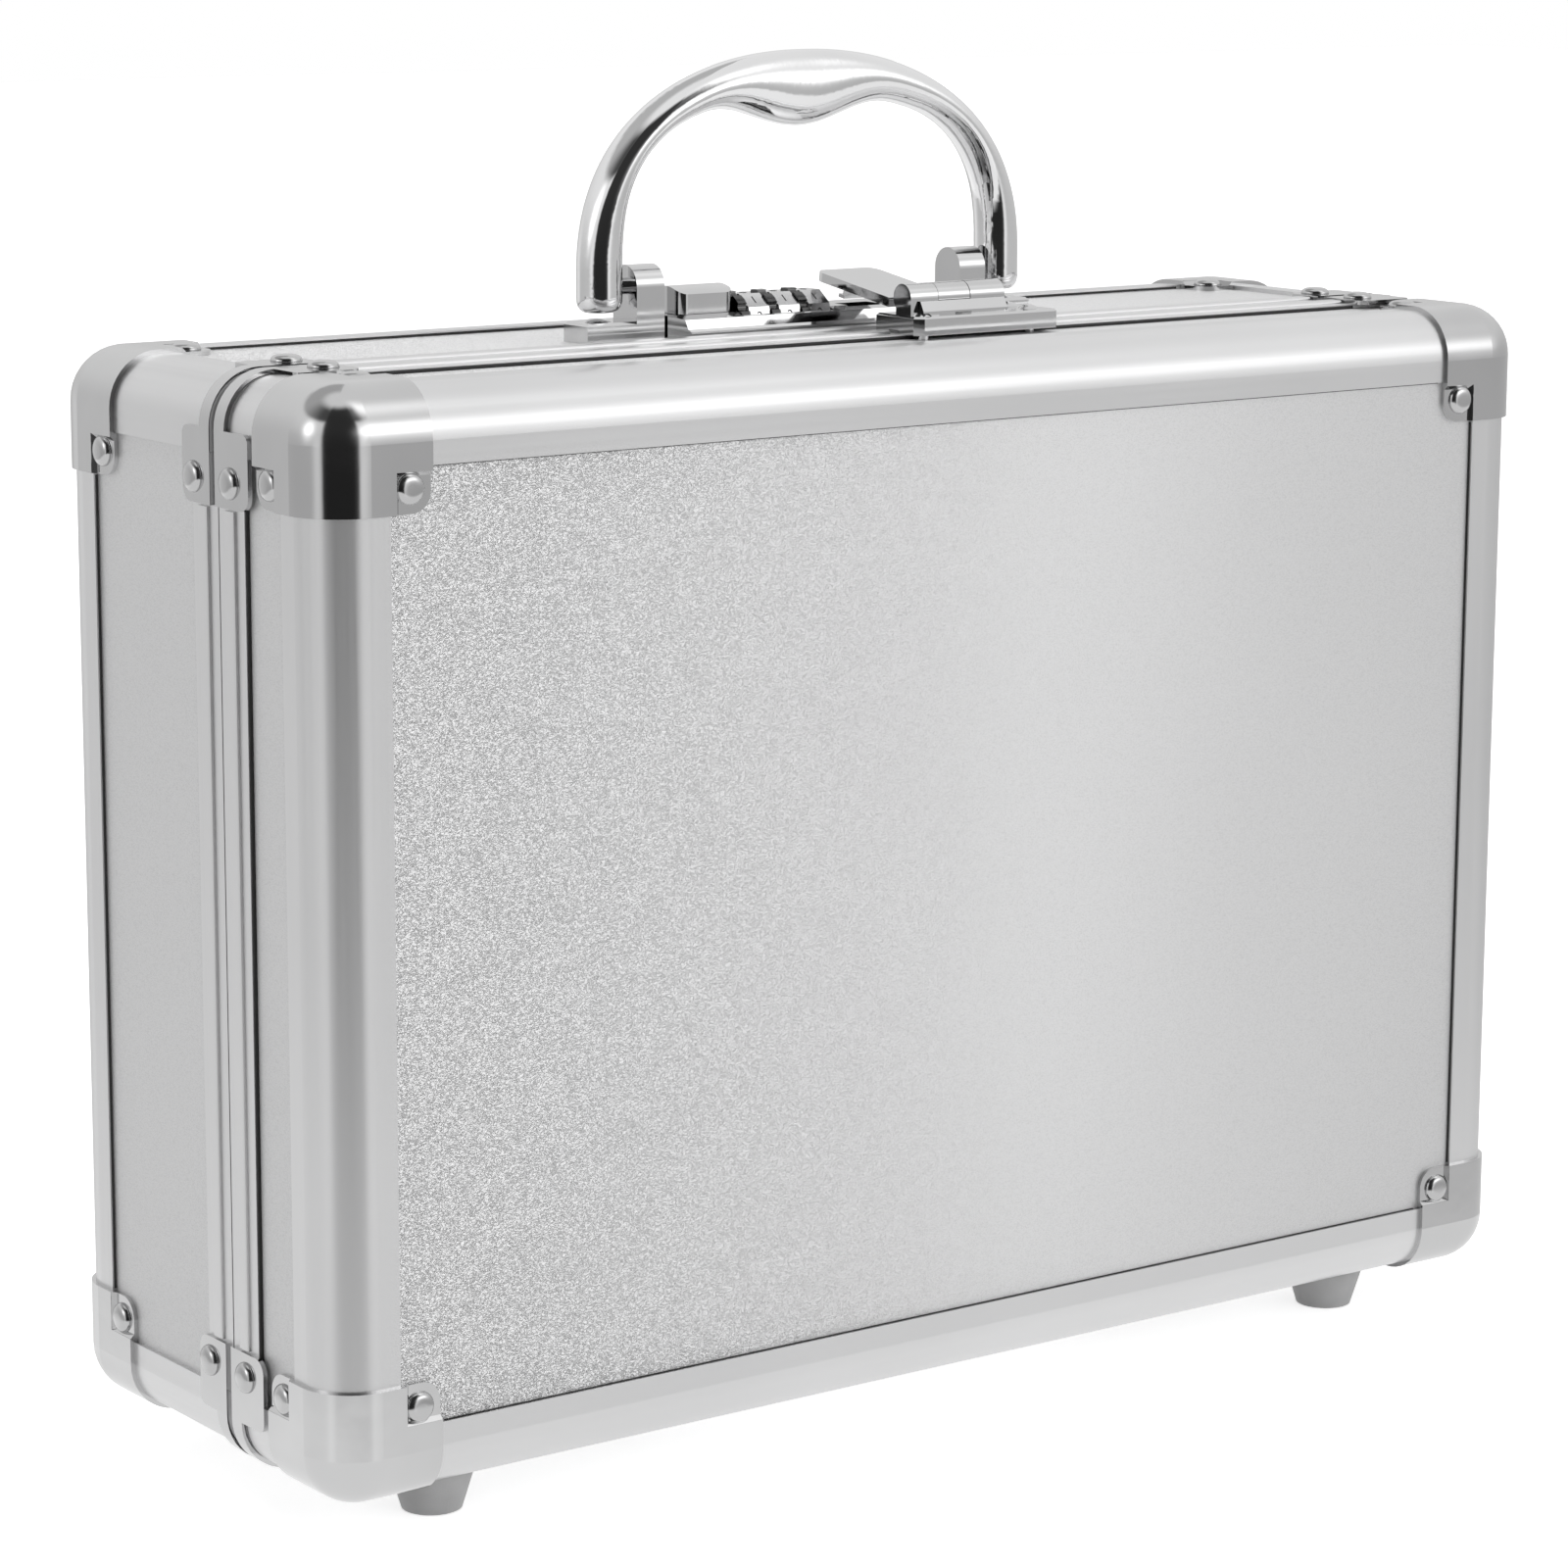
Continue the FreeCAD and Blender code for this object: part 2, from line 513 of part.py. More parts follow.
def corner_cap(rivets):
    """A pressed steel ball corner: three faces, a sunk tab with a rivet on each."""
    left, front, top = -size("case_w") / 2, -size("case_d") / 2, size("foot_h") + size("case_h")
    sheet_t = size("cap_t")
    span = "cap_reach + cap_t"

    def corner_edges(shift):
        """Edges that meet at the case's corner, moved outwards by shift."""
        def chosen(c):
            near = [abs(c.x - left + shift) < 0.01, abs(c.y - front + shift) < 0.01,
                    abs(c.z - top - shift) < 0.01]
            return sum(near) == 2
        return chosen

    outer = box("cap_outer", (f"{LEFT} - cap_t", f"{FRONT} - cap_t", f"{TOP} - cap_reach"),
                span, span, span)
    outer = fillet("cap_outer_round", outer, size("edge_r") + sheet_t, corner_edges(sheet_t))
    inner = box("cap_inner", (LEFT, FRONT, f"{TOP} - cap_reach - cap_t"), span, span, span)
    inner = fillet("cap_inner_round", inner, size("edge_r"), corner_edges(0))
    shell = cut("cap_shell", outer, inner)
    tab, far, begin = "(cap_reach - seam - 0.1)", "(cap_reach - tab_in + 1)", "(seam + 0.1)"
    sunk_blocks = {
        "front": box("cap_sunk_front", (f"{LEFT} + tab_in", f"{FRONT} - cap_t - 1",
                     f"{TOP} - cap_reach - 1"), far, "cap_t + 1", far),
        "side": box("cap_sunk_side", (f"{LEFT} - cap_t - 1", f"{FRONT} + tab_in",
                    f"{TOP} - cap_reach - 1"), "cap_t + 1", far, far),
        "top": box("cap_sunk_top", (f"{LEFT} + tab_in", f"{FRONT} + tab_in", TOP), far, far,
                   "cap_t + 1"),
    }
    inset = size("tab_in")
    outer_plane = {"x": left, "y": front, "z": top}
    step_plane = {"x": left + inset, "y": front + inset, "z": top - inset}
    facing = {"front": "y", "side": "x", "top": "z"}
    sunk = []
    for side, block in sunk_blocks.items():
        across = facing[side]
        sunk.append(chamfered(f"cap_slope_{side}", block, 0.9 * sheet_t, lambda c, f=across:
                    abs(getattr(c, f) - outer_plane[f]) < 0.01 and
                    any(abs(getattr(c, a) - step_plane[a]) < 0.01 for a in "xyz" if a != f)))
    tabs = []
    tab_blocks = {
        "front": ((f"{LEFT} + {begin}", FRONT, f"{TOP} - cap_reach"), tab, "wall_t", tab),
        "side": ((LEFT, f"{FRONT} + {begin}", f"{TOP} - cap_reach"), "wall_t", tab, tab),
        "top": ((f"{LEFT} + {begin}", f"{FRONT} + {begin}", DECK), tab, tab, "wall_t"),
    }
    reach = size("cap_reach")
    far_corner = {"x": left + reach, "y": front + reach, "z": top - reach}
    free = {"front": "xz", "side": "yz", "top": "xy"}
    for side, (at, *sizes) in tab_blocks.items():
        block = box(f"cap_tab_{side}", at, *sizes)
        tabs.append(fillet(f"cap_tab_{side}_round", block, size("tab_r"),
                    lambda c, axes=free[side]: all(abs(getattr(c, a) - far_corner[a]) < 0.01 for a in axes)))
    pressed = fuse("cap_pressed", cut("cap_open", shell, *sunk), *tabs)
    caps = four_corners("cap_four", pressed)
    return cut("lid_corner_caps", caps, rivets)


def lip_bracket(kind, rivets):
    """A strip bent round the corner at the parting line, with a riveted tab at each end."""
    left, top, sheet_t = -size("case_w") / 2, size("foot_h") + size("case_h"), size("cap_t")
    if kind == "lid":
        begin, width = f"{FRONT} + lid_tab_y", "lid_bracket_end - lid_tab_y"
        clear_y, clear_w = f"{FRONT} + lid_tab_y - 1", "lid_strip_y - lid_tab_y + 1"
        tab_side = -size("case_d") / 2 + size("lid_tab_y")
    else:
        begin, width = f"{FRONT} + base_bracket_end", "base_tab_y - base_bracket_end"
        clear_y, clear_w = f"{FRONT} + base_strip_y", "base_tab_y - base_strip_y + 1"
        tab_side = -size("case_d") / 2 + size("base_tab_y")
    span = "bracket_reach + cap_t"
    outer = box(f"{kind}_bracket_outer", (f"{LEFT} - cap_t", begin, f"{TOP} - bracket_reach"),
                span, width, span)
    outer = fillet(f"{kind}_bracket_outer_round", outer, size("edge_r") + sheet_t,
                   lambda c: abs(c.x - left + sheet_t) < 0.01 and abs(c.z - top - sheet_t) < 0.01)
    inner = box(f"{kind}_bracket_inner", (LEFT, f"{begin} - 1", f"{TOP} - bracket_reach - cap_t"),
                span, f"{width} + 2", span)
    inner = fillet(f"{kind}_bracket_inner_round", inner, size("edge_r"),
                   lambda c: abs(c.x - left) < 0.01 and abs(c.z - top) < 0.01)
    strip = cut(f"{kind}_bracket_strip", outer, inner)
    waist = box(f"{kind}_bracket_waist", (f"{LEFT} - cap_t - 1", clear_y, f"{TOP} - edge_r"),
                "edge_r + cap_t + 1", clear_w, "edge_r + cap_t + 1")
    shape = cut(f"{kind}_bracket_shape", strip, waist)
    reach = size("bracket_reach")
    far = fillet(f"{kind}_bracket_far", shape, 3.2,
                 lambda c: abs(c.y - tab_side) < 0.01 and
                 (abs(c.z - top + reach) < 0.01 or abs(c.x - left - reach) < 0.01))
    near = fillet(f"{kind}_bracket_near", far, 2.0,
                  lambda c: abs(c.y - tab_side) < 0.01 and
                  (abs(c.z - top + size("edge_r")) < 0.01 or abs(c.x - left - size("edge_r")) < 0.01))
    return cut(f"{kind}_lip_brackets", four_corners(f"{kind}_bracket_four", near), rivets)


# Feet and hinges ---------------------------------------------------------------------

def feet():
    """Two rubber feet under the lid, each held by a sunk screw."""
    x, y = "-foot_x", f"{FRONT} + foot_in"
    foot = cone("foot_cone", (x, y, "0"), "foot_low_r", "foot_top_r", "foot_h")
    sink = cylinder("foot_sink", (x, y, "-1"), "3.4", "4.5")
    head = cylinder("foot_screw_head", (x, y, "1.6"), "3.2", "1.9")
    socket = cylinder("foot_screw_socket", (x, y, "0.6"), "1.4", "2")
    shank = cylinder("foot_screw_shank", (x, y, "3.5"), "shank_r", "foot_h - 3.5 + wall_t + panel_t")
    screw = fuse("foot_screw", cut("foot_screw_cup", head, socket), shank)
    screws = left_right("lid_foot_screws", screw)
    rubber = left_right("lid_feet", cut("foot_rubber", foot, sink, shank))
    return rubber, screws


HINGE_Y = f"({FRONT} + lid_d + part_gap / 2)"
HINGE_Z = "(foot_h - leaf_t - 1.35)"


def hinges():
    """Two butt hinges under the parting line; the lid has the middle knuckle of each."""
    third = "(hinge_len / 3)"
    start = "(-hinge_x - hinge_len / 2)"
    pin_hole = cylinder("hinge_bore", (f"{start} - 1", HINGE_Y, HINGE_Z),
                        "hinge_pin_r + fit_gap", "hinge_len + 2", "+x")
    knuckles = []
    webs = []
    for number, gap in enumerate((0, 0.2, 0)):
        at = f"{start} + {number} * {third} + {gap}"
        run = f"{third} - {2 * gap}"
        knuckles.append(cylinder(f"knuckle_{number}", (at, HINGE_Y, HINGE_Z), "hinge_r", run, "+x"))
        side = f"{HINGE_Y} - hinge_r" if number == 1 else HINGE_Y
        webs.append(box(f"knuckle_web_{number}", (at, side, f"{LOW} - leaf_t"), run, "hinge_r", "leaf_t"))
    lid_leaf = box("lid_leaf", (start, f"{HINGE_Y} - leaf_w", f"{LOW} - leaf_t"),
                   "hinge_len", "leaf_w - hinge_r - 0.3", "leaf_t")
    base_leaf = box("base_leaf", (start, f"{HINGE_Y} + hinge_r + 0.3", f"{LOW} - leaf_t"),
                    "hinge_len", "leaf_w - hinge_r - 0.3", "leaf_t")
    lid_neck = box("lid_neck", (f"{start} + {third} + 0.2", f"{HINGE_Y} - hinge_r - 0.4",
                   f"{LOW} - leaf_t"), f"{third} - 0.4", "0.5", "leaf_t")
    base_necks = [box(f"base_neck_{n}", (f"{start} + {2 * n} * {third}", f"{HINGE_Y} + hinge_r - 0.1",
                  f"{LOW} - leaf_t"), third, "0.5", "leaf_t") for n in (0, 1)]
    pin = cylinder("hinge_pin", (start, HINGE_Y, HINGE_Z), "hinge_pin_r", "hinge_len", "+x")
    rivets = {}
    for kind, sign in (("lid", "-"), ("base", "+")):
        pair = []
        for number, along in enumerate(("-17", "17")):
            at = (f"-hinge_x + {along}", f"{HINGE_Y} {sign} 10.4", f"{LOW} - leaf_t")
            head = dome(f"{kind}_hinge_head_{number}", at, "2.4", "0.9", "-z")
            shank = cylinder(f"{kind}_hinge_shank_{number}", at, "1.2", "leaf_t + wall_t + panel_t", "+z")
            pair.append(fuse(f"{kind}_hinge_rivet_{number}", head, shank))
        rivets[kind] = left_right(f"{kind}_hinge_rivets", group(f"{kind}_hinge_rivet_pair", pair))
    lid_half = cut("lid_hinge_half", fuse("lid_hinge_solid", lid_leaf, lid_neck, webs[1], knuckles[1]),
                   pin_hole)
    base_half = cut("base_hinge_half", fuse("base_hinge_solid", base_leaf, *base_necks, webs[0], webs[2],
                    knuckles[0], knuckles[2]), pin_hole)
    node("lid_hinge_leaves", cut("lid_hinge_leaves", left_right("lid_hinge_pair", lid_half), rivets["lid"]))
    node("base_hinge_leaves", cut("base_hinge_leaves", left_right("base_hinge_pair", base_half),
         rivets["base"]))
    node("hinge_pins", left_right("hinge_pins", pin))
    node("lid_hinge_rivets", rivets["lid"])
    node("base_hinge_rivets", rivets["base"])
    return rivets


# Combination lock ----------------------------------------------------------------------

WHEEL_Z = "(foot_h + wheel_z)"
CASE_FLOOR = "(foot_h + 220.6)"
PITCH = "(wheel_w + wheel_gap)"


def lock_case():
    """The open box that hangs under the top panel and carries the wheel axle."""
    wall, depth = "case_wall", f"{DECK} - {CASE_FLOOR}"
    outer = box("case_outer", ("-39", "mid_y - case_half", CASE_FLOOR), "57.5", "2 * case_half", depth)
    inner = box("case_inner", (f"-39 + {wall}", f"mid_y - case_half + {wall}", f"{CASE_FLOOR} + {wall}"),
                f"57.5 - 2 * {wall}", f"2 * (case_half - {wall})", depth)
    low = f"{WHEEL_Z} - wheel_rim - 0.2"
    parts = [cut("case_shell", outer, inner)]
    for side, start in (("left", "wheels_x - 1.1"), ("right", f"wheels_x + 3 * {PITCH} + 0.1")):
        parts.append(box(f"bearing_{side}", (start, "mid_y - 7.9", low), "0.8", "15.8",
                         f"{DECK} - ({low})"))
        parts.append(box(f"bearing_{side}_head", (start, "mid_y - 6.9", f"{DECK} - 1"), "0.8", "13.8",
                         "lock_shoulder + 0.4"))
    axle = wheel_axle()
    node("lock_case", cut("lock_case", fuse("lock_case_walls", *parts), axle))
    node("wheel_axle", axle)
    return outer


def wheel_axle():
    return cylinder("wheel_axle", ("wheels_x - 1.1", "mid_y", WHEEL_Z), "axle_r",
                    f"3 * {PITCH} + 2.0", "+x")


def number_wheel(number):
    """A ten-sided drum with a notched rim on its left, running on the axle."""
    start = f"wheels_x + {number - 1} * {PITCH}"
    rim = cylinder(f"rim_{number}", (start, "mid_y", WHEEL_Z), "wheel_rim", "wheel_rim_w", "+x")
    notches = []
    for step in range(10):
        angle = 36 * step
        at = (f"{start} - 1", f"mid_y + (wheel_rim + 0.3) * cos({angle})",
              f"{WHEEL_Z} + (wheel_rim + 0.3) * sin({angle})")
        notches.append(cylinder(f"notch_{number}_{step}", at, "1.1", "wheel_rim_w + 2", "+x"))
    drum = doc.addObject("Part::Prism", f"drum_{number}")
    drum.Polygon = 10
    bind(drum, Circumradius="wheel_flat / cos(18)", Height="wheel_w - wheel_rim_w")
    turn = FreeCAD.Rotation(V(1, 0, 0), 18) * FreeCAD.Rotation(V(0, 1, 0), 90)
    drum.Placement = FreeCAD.Placement(V(), turn)
    place(drum, (f"{start} + wheel_rim_w", "mid_y", WHEEL_Z))
    bore = cylinder(f"wheel_bore_{number}", (f"{start} - 1", "mid_y", WHEEL_Z),
                    "axle_r + fit_gap", "wheel_w + 2", "+x")
    toothed = cut(f"toothed_{number}", rim, *notches)
    node(f"number_wheel_{number}", cut(f"number_wheel_{number}", fuse(f"wheel_{number}", toothed, drum),
         bore))


def lock_plate(screws):
    """The stepped, crowned plate over the lock case, with windows for what moves."""
    near, far = "(mid_y - lock_d / 2)", "(mid_y + lock_d / 2)"
    base = DECK
    section = [(near, base), (near, f"{base} + lock_step - 0.6"), (f"{near} + 0.5", f"{base} + lock_step"),
               (f"{near} + 1.0", f"{base} + lock_shoulder"), (f"{near} + 3.3", f"{base} + lock_top"),
               (f"{far} - 3.3", f"{base} + lock_top"), (f"{far} - 1.0", f"{base} + lock_shoulder"),
               (f"{far} - 0.5", f"{base} + lock_step"), (far, f"{base} + lock_step - 0.6"), (far, base)]
    bar = profile("lock_bar", "YZ_Plane", section, "-lock_w / 2", "lock_w")
    cutters = []
    for sign_x in (-1, 1):
        for sign_y in (-1, 1):
            side = "lock_nip * sqrt(2)"
            wedge = box(f"lock_nip_{sign_x}_{sign_y}", ("0", "0", base), side, side, "lock_top + 1")
            wedge.Placement.Rotation = FreeCAD.Rotation(V(0, 0, 1), 45)
            place(wedge, (f"{sign_x} * lock_w / 2", f"mid_y + {sign_y} * lock_d / 2 - lock_nip",
                          f"{base} - 0.5"))
            cutters.append(wedge)
    hollow = box("lock_hollow", ("-38.4", "mid_y - 7.2", f"{base} - 1"), "56.9", "14.4",
                 "lock_top - lock_skin + 1")
    window = cylinder("wheel_window", ("wheels_x - 0.2", "mid_y", WHEEL_Z), "wheel_rim + 0.25",
                      f"3 * {PITCH} + 0.2", "+x")
    stem = box("stem_window", ("button_x + 0.1", "mid_y - 3.4", base), "8.2", "6.8", "lock_top + 1")
    slot = box("catch_slot", ("hasp_x + 5.1", "mid_y - 6.4", base), "9.1", "5.4", "lock_top + 1")
    plate = cut("lock_plate_raw", bar, *cutters, hollow, window, stem, slot)
    node("lock_plate", cut("lock_plate", plate, screws))


def lock_screws():
    screws = []
    for number, x in enumerate(("25", "36.5")):
        at = (x, "mid_y", f"{DECK} + lock_top")
        head = dome(f"lock_head_{number}", at, "2.6", "1.0", "+z")
        slit = box(f"lock_slit_{number}", (f"{x} - 3", "mid_y - 0.35", f"{DECK} + lock_top + 0.5"),
                   "6", "0.7", "2")
        shank = cylinder(f"lock_shank_{number}", at, "shank_r", "lock_top + panel_t + 1", "-z")
        screws.append(fuse(f"lock_screw_{number}", cut(f"lock_slotted_{number}", head, slit), shank))
    return node("lock_screws", group("lock_screws", screws))


def release_button():
    """The sliding release; its stem passes the plate and meets the latch bolt."""
    near, base = "(mid_y - button_d / 2)", f"({DECK} + lock_top + 0.1)"
    block = box("button_block", ("button_x", near, base), "button_w", "button_d",
                "button_h + button_crown")
    left, right = size("button_x"), size("button_x") + size("button_w")
    front, back = size("mid_y") - size("button_d") / 2, size("mid_y") + size("button_d") / 2
    block = fillet("button_corners", block, 2.2, lambda c: (abs(c.x - left) < 0.01 or
                   abs(c.x - right) < 0.01) and (abs(c.y - front) < 0.01 or abs(c.y - back) < 0.01))
    half, rise = "(button_d / 2 + 0.5)", "button_crown"
    crown = cylinder("button_barrel", ("button_x - 1", "mid_y",
                     f"{base} + button_h + {rise} - (({half})^2 + {rise}^2) / (2 * {rise})"),
                     f"(({half})^2 + {rise}^2) / (2 * {rise})", "button_w + 2", "+x")
    common = doc.addObject("Part::Common", "button_top")
    common.Base = block
    common.Tool = crown
    stem = box("button_stem", ("button_x + 2.1", "mid_y - 3", f"{DECK} - 0.5"), "5", "6",
               "lock_top + 1")
    node("release_button", fuse("release_button", common, stem))


def latch_bolt():
    """The flat bar under the wheels, from the button's stem to the nose at the catch."""
    low, right = f"{CASE_FLOOR} + 1.2", "(hasp_x + 2.9)"
    left = "(button_x + 2.1)"
    bar = box("bolt_bar", (left, "mid_y - 4", low), f"{right} + 1.6 - {left}", "8", "1.6")
    rear = box("bolt_rear", (left, "mid_y - 3", low), "5", "6", f"{DECK} - 0.5 - ({low})")
    upright = box("bolt_upright", (right, "mid_y - 5.6", low), "1.6", "6", f"{DECK} + 4 - ({low})")
    nose = box("bolt_nose", (right, "mid_y - 5.6", f"{DECK} + 3.2"), "2.5", "3", "0.8")
    node("latch_bolt", fuse("latch_bolt", bar, rear, upright, nose))


# Hasp on the lid ------------------------------------------------------------------------

HASP_Y = f"({FRONT} + hasp_y)"
HASP_Z = "(foot_h + hasp_z)"
HASP_DECK = f"({TOP} + hasp_slab_t)"


def hasp_screws():
    screws = []
    places = ((3.4, 27.7, 2.0), (35.6, 30.5, 2.3), (35.6, 37.6, 2.3))
    for number, (along, deep, radius) in enumerate(places):
        x, y = f"hasp_x + {along}", f"{FRONT} + {deep}"
        head = dome(f"hasp_head_{number}", (x, y, HASP_DECK), str(radius), "0.9", "+z")
        shank = cylinder(f"hasp_shank_{number}", (x, y, HASP_DECK), "1.3",
                         "hasp_slab_t + wall_t + panel_t", "-z")
        screws.append(fuse(f"hasp_screw_{number}", head, shank))
    return node("hasp_screws", group("hasp_screws", screws))


def hasp(screws):
    """The plate screwed to the lid, its barrel hinge and the tongue that closes over the lock."""
    first, second = "(hasp_x + 7.8)", "(hasp_x + tongue_w + 0.2)"
    bore = cylinder("hasp_bore", ("hasp_x - 1", HASP_Y, HASP_Z), "hasp_pin_r + fit_gap",
                    "hasp_w + 2", "+x")
    slab = box("hasp_slab", ("hasp_x + 0.3", f"{FRONT} + 25.4", TOP), "39.9", "15.4", "hasp_slab_t")
    front = -size("case_d") / 2 + 25.4
    left, right = size("hasp_x") + 0.3, size("hasp_x") + 40.2
    slab = chamfered("hasp_slab_nipped", slab, 1.8, lambda c: abs(c.y - front) < 0.01 and
                     abs(c.x - left) < 0.01)
    slab = chamfered("hasp_slab_blunt", slab, 0.6, lambda c: abs(c.y - front) < 0.01 and
                     abs(c.x - right) < 0.01)
    deck = size("foot_h") + size("case_h") + size("hasp_slab_t")
    slab = chamfered("hasp_slab_edge", slab, 0.5, lambda c: abs(c.z - deck) < 0.01)
    saddles = []
    for number, (start, run) in enumerate((("hasp_x", "7.7"), (second, f"hasp_x + hasp_w - {second}"))):
        saddles.append(cylinder(f"hasp_barrel_{number}", (start, HASP_Y, HASP_Z), "hasp_r", run, "+x"))
        saddles.append(box(f"hasp_saddle_{number}", (start, f"{HASP_Y} - hasp_r", HASP_DECK), run,
                           "1.7 * hasp_r", f"{HASP_Z} - {HASP_DECK}"))
    lip_y = f"{HASP_Y} - hasp_r"
    lip_section = [(f"{lip_y} - 1.8", f"{HASP_DECK} + 0.7"), (f"{lip_y} - 1.8", f"{HASP_DECK} + 1.1"),
                   (f"{lip_y} - 0.6", f"{HASP_DECK} + 3.3"), (f"{lip_y} - 0.2", f"{HASP_DECK} + 3.3"),
                   (f"{lip_y} - 0.2", f"{HASP_DECK} + 0.7")]
    lip = profile("hasp_lip", "YZ_Plane", lip_section, "hasp_x + 2.2", "hasp_w - 2.8")
    foot = box("hasp_lip_foot", ("hasp_x + 2.2", f"{HASP_Y} - hasp_r - 0.4", HASP_DECK), "5.5", "1", "1.5")
    heel = box("hasp_lip_heel", (f"{second}", f"{HASP_Y} - hasp_r - 0.4", HASP_DECK), "7", "1", "1.5")
    plate = cut("hasp_plate_raw", fuse("hasp_plate_solid", slab, *saddles, lip, foot, heel), bore)
    node("hasp_plate", cut("hasp_plate", plate, screws))
    node("hasp_pin", cylinder("hasp_pin", ("hasp_x", HASP_Y, HASP_Z), "hasp_pin_r", "hasp_w", "+x"))

    near, tip = f"{HASP_Y} + 4.6", f"{HASP_Y} + tongue_reach"
    flat = f"{HASP_Z} - 0.9"
    side = [(near, flat), (f"{tip} - 0.5", flat), (tip, f"{flat} - 0.5"), (tip, f"{flat} - 1.5"),
            (f"{tip} - 0.6", f"{flat} - 2.1"), (near, f"{flat} - 2.1")]
    plan = box("tongue_plan", ("hasp_x", HASP_Y, f"{flat} - 3"), "tongue_w", "tongue_reach", "4")
    tip_y = -size("case_d") / 2 + size("hasp_y") + size("tongue_reach")
    middle = size("foot_h") + size("hasp_z") - 1.9
    plan = fillet("tongue_plan_round", plan, size("tongue_round"),
                  lambda c: abs(c.y - tip_y) < 0.01 and abs(c.z - middle) < 0.01)
    leaf = doc.addObject("Part::Common", "tongue_leaf_round")
    leaf.Base = profile("tongue_leaf", "YZ_Plane", side, "hasp_x", "tongue_w")
    leaf.Tool = plan
    root = box("tongue_root", (first, HASP_Y, f"{flat} - 2.1"), f"{second} - 0.2 - {first}", "4.8", "2.1")
    barrel = cylinder("tongue_barrel", (first, HASP_Y, HASP_Z), "hasp_r", f"{second} - 0.2 - {first}", "+x")
    catch = box("tongue_catch", ("hasp_x + 5.7", "mid_y - 4.6", f"{DECK} + 2.3"), "7.6", "2.2",
                f"{flat} - 1.5 - ({DECK} + 2.3)")
    notch = box("catch_notch", ("hasp_x + 5.2", "mid_y - 5", f"{DECK} + 3.1"), "1.7", "3", "1.4")
    solid = fuse("tongue_solid", leaf, root, barrel, cut("tongue_hook", catch, notch))
    closed = cut("tongue_closed", solid, bore)
    lifted = doc.addObject("Part::Compound", "hasp_tongue")
    lifted.Links = [closed]
    axis_point = V(0, *[float(lifted.evalExpression(bound(text))) for text in (HASP_Y, HASP_Z)])
    lift = FreeCAD.Rotation(V(1, 0, 0), size("hasp_lift"))
    lifted.Placement = FreeCAD.Placement(V(), lift, axis_point)
    node("hasp_tongue", lifted)


def chamfered(name, base, width, chosen):
    doc.recompute()
    obj = doc.addObject("Part::Chamfer", name)
    obj.Base = base
    obj.Edges = [(n, width, width) for n, e in enumerate(base.Shape.Edges, 1) if chosen(e.CenterOfMass)]
    return obj


# Carrying handle --------------------------------------------------------------------------

PIVOT_Z = "(foot_h + pivot_z)"


def arch_section(turn):
    """Centre, half thickness and half depth of the handle at an angle from its right foot."""
    side, rise = math.cos(turn), max(math.sin(turn), 0.0)
    spring = size("arch_spring")
    outer = V(size("handle_w") / 2 * math.copysign(abs(side) ** (2 / 2.2), side), 0,
              spring + (size("arch_top") - spring) * rise ** (2 / 2.2))
    inner = V(size("handle_in") / 2 * math.copysign(abs(side) ** (2 / 3.0), side), 0,
              spring + (size("arch_under") - spring) * rise ** (2 / 3.0))
    offset = inner.x - size("swell_x")
    if abs(offset) < size("swell_w"):
        inner.z -= size("swell") * math.cos(math.pi / 2 * offset / size("swell_w")) ** 2
    blend = rise ** 2
    half_y = size("leg_y") * (1 - blend) + size("grip_y") * blend
    return outer, inner, half_y


def ellipse_wire(outer, inner, half_y, shrink=1.0):
    """An ellipse across the handle, from its inner to its outer side."""
    centre = (outer + inner) * 0.5
    across = (outer - inner) * 0.5 * shrink
    normal = V(0, 1, 0).cross(across).normalize()
    lift = V(0, size("mid_y"), size("foot_h"))
    centre = centre + lift
    deep = half_y * shrink
    matrix = FreeCAD.Matrix(across.x, 0, normal.x, centre.x,
                            across.y, deep, normal.y, centre.y,
                            across.z, 0, normal.z, centre.z,
                            0, 0, 0, 1)
    return Part.Wire(Part.makeCircle(1.0).transformGeometry(matrix).Edges)


def handle():
    """The chromed arch, lofted through ellipses from one rounded foot to the other."""
    foot_z = size("pivot_z") - size("leg_foot")
    wires = []
    half_w, half_in = size("handle_w") / 2, size("handle_in") / 2
    ends = [(foot_z, 0.62), (foot_z + 0.7, 0.86), (foot_z + 1.8, 0.97), (foot_z + 3.4, 1.0)]
    for level, shrink in ends:
        wires.append(ellipse_wire(V(half_w, 0, level), V(half_in, 0, level), size("leg_y"), shrink))
    for step in range(0, 25):
        wires.append(ellipse_wire(*arch_section(math.pi * step / 24)))
    for level, shrink in reversed(ends):
        wires.append(ellipse_wire(V(-half_w, 0, level), V(-half_in, 0, level), size("leg_y"), shrink))
    loft = doc.addObject("Part::Feature", "handle_arch")
    loft.Shape = Part.makeLoft(wires, True, False)
    holes = [cylinder("handle_hole_right", ("handle_in / 2 - 1", "mid_y", PIVOT_Z),
                      "handle_pin_r + fit_gap", "8", "+x"),
             cylinder("handle_hole_left", ("-handle_in / 2 + 1", "mid_y", PIVOT_Z),
                      "handle_pin_r + fit_gap", "8", "-x")]
    node("handle", cut("handle", loft, *holes))


